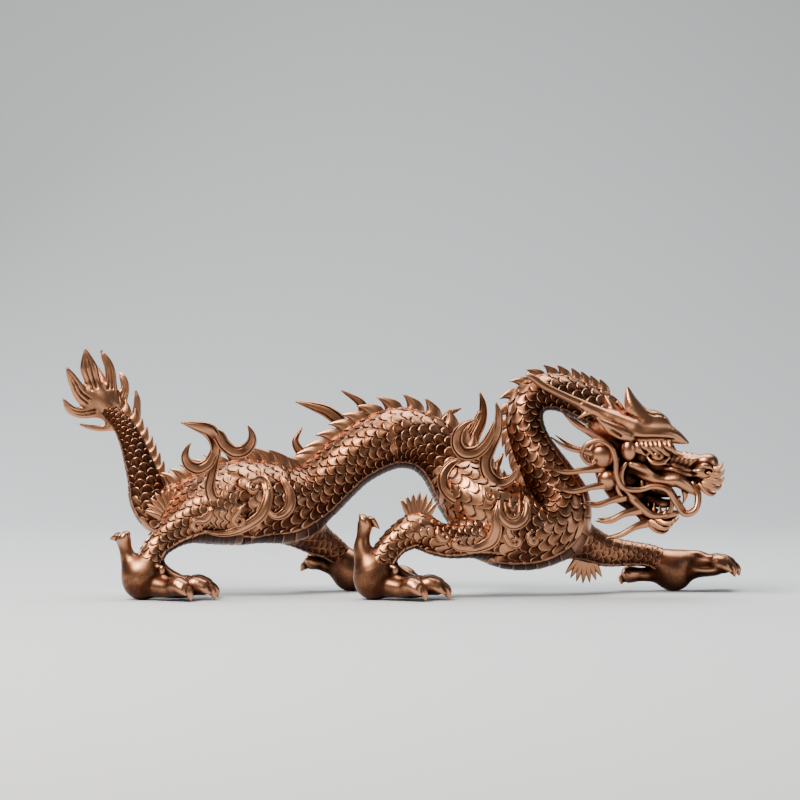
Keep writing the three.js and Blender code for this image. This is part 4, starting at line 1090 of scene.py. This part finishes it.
# Teeth and tongue.
for i in range(6):
    x = 27 + 3.3 * i
    head.bar([[x, 8.4, -41.5 - 0.3 * i, 1.3], [x + 0.3, 8.2, -46.2 - 0.2 * i, 0.4]], 0.3)
for i in range(5):
    x = 27 + 3.4 * i
    head.bar([[x, 6.2, -57 - 0.9 * i, 1.2], [x + 0.4, 6.2, -52.6 - 1.0 * i, 0.35]], 0.3)
head.bar([[52, 7.6, -46, 2], [52.4, 7.8, -50.4, 1.4], [51, 7.8, -54.6, 0.35]], 0.4)
head.bar([[43, 4.4, -60.5, 1.8], [44.4, 4.8, -56, 1.3], [44, 5, -52.6, 0.35]], 0.4)
head.ball([23, 0, -50], [8, 8.6, 5.5], 2)
head.bar([[20, 0, -44, 5], [33, 0, -46, 5], [43, 0, -48, 3]], 1)
head.bar([[18, 2.6, -47, 3.6], [30, 2.8, -51.6, 3.4], [39, 2.6, -54.4, 2.8], [45, 2, -53.6, 2],
          [49, 1.2, -50.6, 1]], 0.8)
head.both_sides()
head_points, head_faces = head.skin()

# The top of the head, round the brow, is painted lighter, as light from above would make it, and the inside
# of the mouth is painted darker, as shade that falls there.
HEAD_RUB, BROW_PAINTED_LIGHT, MOUTH_PAINTED_SHADE = 0.06, 0.3, -0.55
BROW_FROM, BROW_FULL = -22, -8  # heights
MOUTH_MIDDLE, MOUTH_HALF = (30, 0, -50), (17, 8.5, 7)
off_x, off_y, off_z = ((head_points - MOUTH_MIDDLE) / MOUTH_HALF).T
# painted shade: a soft mask over the inside of the mouth that darkens the colour there
mouth_painted_shade = np.exp(-off_x ** 4 - off_z ** 4 - off_y ** 6)
# painted light: lightens the top of the head, from the brow upwards
brow_painted_light = ease(BROW_FROM, BROW_FULL, head_points[:, 2])
cast("head", [(head_to_body(head_points), head_faces)],
     rub_and_painted_light=HEAD_RUB + BROW_PAINTED_LIGHT * brow_painted_light + MOUTH_PAINTED_SHADE * mouth_painted_shade, broad=0.25)

# ---------------------------------------------------------------------------------------------
# Strands: the horns, the hairs of mane and brow, the whiskers, and the curls at nose and chin.
# Each is a tapered copper strand, rolled in wax, set on the skull in a pair and cast with it. They are
# in the head's frame, as rows of [x, y, z, half width].

HORN = [[8, 9, -3, 4.2], [2, 9.5, -0.5, 3.7], [-8, 11, 4.4, 3], [-18, 12.5, 9, 2.5], [-30, 15, 15, 2.3],
        [-37, 16.4, 20, 2.1], [-40, 17, 22, 1.4], [-41.4, 17.4, 23, 0.3]]
MANE = [
    [[6, 10, -19, 2.6], [-3.4, 14, -12.6, 1.9], [-12.6, 17, -6.6, 1.5], [-20.6, 18.4, 1.4, 0.3]],
    [[1, 13, -26, 2.3], [-7, 17, -23.6, 1.6], [-17, 20, -20.8, 1.3], [-26.8, 22, -14.2, 0.3]],
    [[4, 13, -33.5, 2.4], [-5, 18, -34.4, 1.7], [-18, 21, -35.6, 1.3], [-30.6, 24, -31.8, 0.3]],
    [[6, 12, -43, 2.4], [-2, 16.6, -44.6, 1.7], [-14, 20.4, -47, 1.3], [-25, 23, -43.6, 0.3]],
    [[17, 8, -50.5, 2.6], [9, 13.6, -52.6, 1.8], [0.6, 17, -55.4, 1.4], [-8.6, 19.4, -54, 0.3]],
    [[27, 6, -58, 2.8], [17, 11, -60.4, 2], [8, 13.6, -64.6, 1.6], [-0.6, 15, -64.6, 0.3]],
    [[30, 4, -66, 2.6], [22.6, 8, -68.6, 1.8], [14, 10.6, -73.4, 1.4], [6, 12, -75, 0.3]],
]
WHISKER = [
    [57, 6, -42, 2], [60, 8, -50, 2], [58.5, 11, -58, 1.9], [52, 12, -60, 1.9], [47, 12, -53, 1.9],
    [42, 13, -46, 1.8], [34, 13, -44, 1.8], [25, 14, -46, 1.7], [16, 16, -44.5, 1.7], [12.5, 18, -37, 1.6],
    [12, 18.5, -28, 1.6], [9, 19, -20.5, 1.5], [2, 19, -17, 1.4], [-5, 19, -19, 1.4], [-8, 19, -25, 1.3],
    [-4.5, 19, -30, 1.3], [-2, 18, -30.5, 1.2], [-0.5, 17, -29, 2],
]
NOSE_TUFTS = [
    [[65, 5, -33, 2.2], [70.6, 6.5, -34, 2], [73.6, 7, -32, 1.1], [74.6, 7, -29.6, 0.3]],
    [[65, 6, -36, 2.4], [70.8, 7.4, -37.4, 2], [74.2, 8, -36.4, 1.1], [75.4, 8, -34.2, 0.3]],
    [[64, 6, -39, 2.4], [70.2, 7.6, -41, 2], [73.8, 8.4, -40.8, 1.1], [75.4, 8.4, -38.8, 0.3]],
    [[63, 5.6, -41.6, 2.4], [68.6, 7.6, -44.6, 1.9], [72, 8.4, -45.2, 1.1], [73.8, 8.4, -43.6, 0.3]],
    [[61, 5, -43, 2.2], [65.6, 7.4, -47.4, 1.7], [68.6, 8, -49, 1], [70.6, 8, -48, 0.3]],
    [[66, 1.6, -38, 2.2], [71.4, 1.9, -41, 1.9], [74, 2, -43.6, 0.3]],
]
CHIN_CURLS = [
    [[34, 4, -63, 2.2], [40, 7, -66, 1.4], [44, 7.8, -65.6, 0.9], [46.4, 8, -63.4, 0.3]],
    [[32, 5, -65, 2.2], [37.6, 7.6, -68.6, 1.4], [42, 8.4, -69, 0.9], [45, 8.6, -67, 0.3]],
    [[31, 3, -66, 2], [35, 5, -70.4, 1.3], [39.6, 5.6, -71.8, 0.8], [42.6, 5.6, -70.4, 0.3]],
    [[37, 1.6, -63, 2.2], [43, 2.6, -65.4, 1.3], [46.4, 2.8, -65, 0.8], [48.6, 2.8, -63, 0.3]],
]
BROW_HAIRS = 9
BROW_SPACING = 2.7
HAIR_VARIES = 0.22  # how much longer or shorter than the mean a brow hair is


def strand(rows, steps, grooves=0.0, sides=18):
    """A tapered strand with a rounded root, and its twin on the other side."""
    start, after = np.array(rows[0][:3], float), np.array(rows[1][:3], float)
    root = start - unit(after - start) * rows[0][3] * 0.9
    rows = [[*root, 0.3, 0.3]] + [[*row, row[3]] for row in rows]
    pair = [sweep(one, steps, rib(sides, 2, grooves)) for one in (rows, mirrored(rows))]
    return [(head_to_body(points), faces) for points, faces in pair]


hairs = []
for rows in MANE:
    hairs += strand(rows, 36, 0.25)
for rows in NOSE_TUFTS + CHIN_CURLS:
    hairs += strand(rows, 18, 0.35)
# The brow hairs hang in a row round the brow's edge and sweep forwards.
for i in range(BROW_HAIRS):
    x = 22 + BROW_SPACING * i
    out = 13.8 - 0.05 * (i - 3) ** 2
    long = 1 + HAIR_VARIES * math.sin(2.4 * i)
    hair = [[x - 0.6, out - 1.6, -16.6, 1.8], [x + 0.4, out + 1.3, -17 - 3.4 * long, 1.5],
            [x + 2.2 + long, out + 1, -17 - 6.6 * long, 0.7],
            [x + 4.4 + long, out + 0.4, -17 - 7.6 * long, 0.2]]
    hairs += strand(hair, 14, 0.3, 12)
cast("mane_and_beard", hairs, rub_and_painted_light=-0.15)
cast("horns", strand(HORN, 90, 0.12, 28), rub_and_painted_light=-0.08)
cast("whiskers", strand(WHISKER, 200), rub_and_painted_light=-0.15)
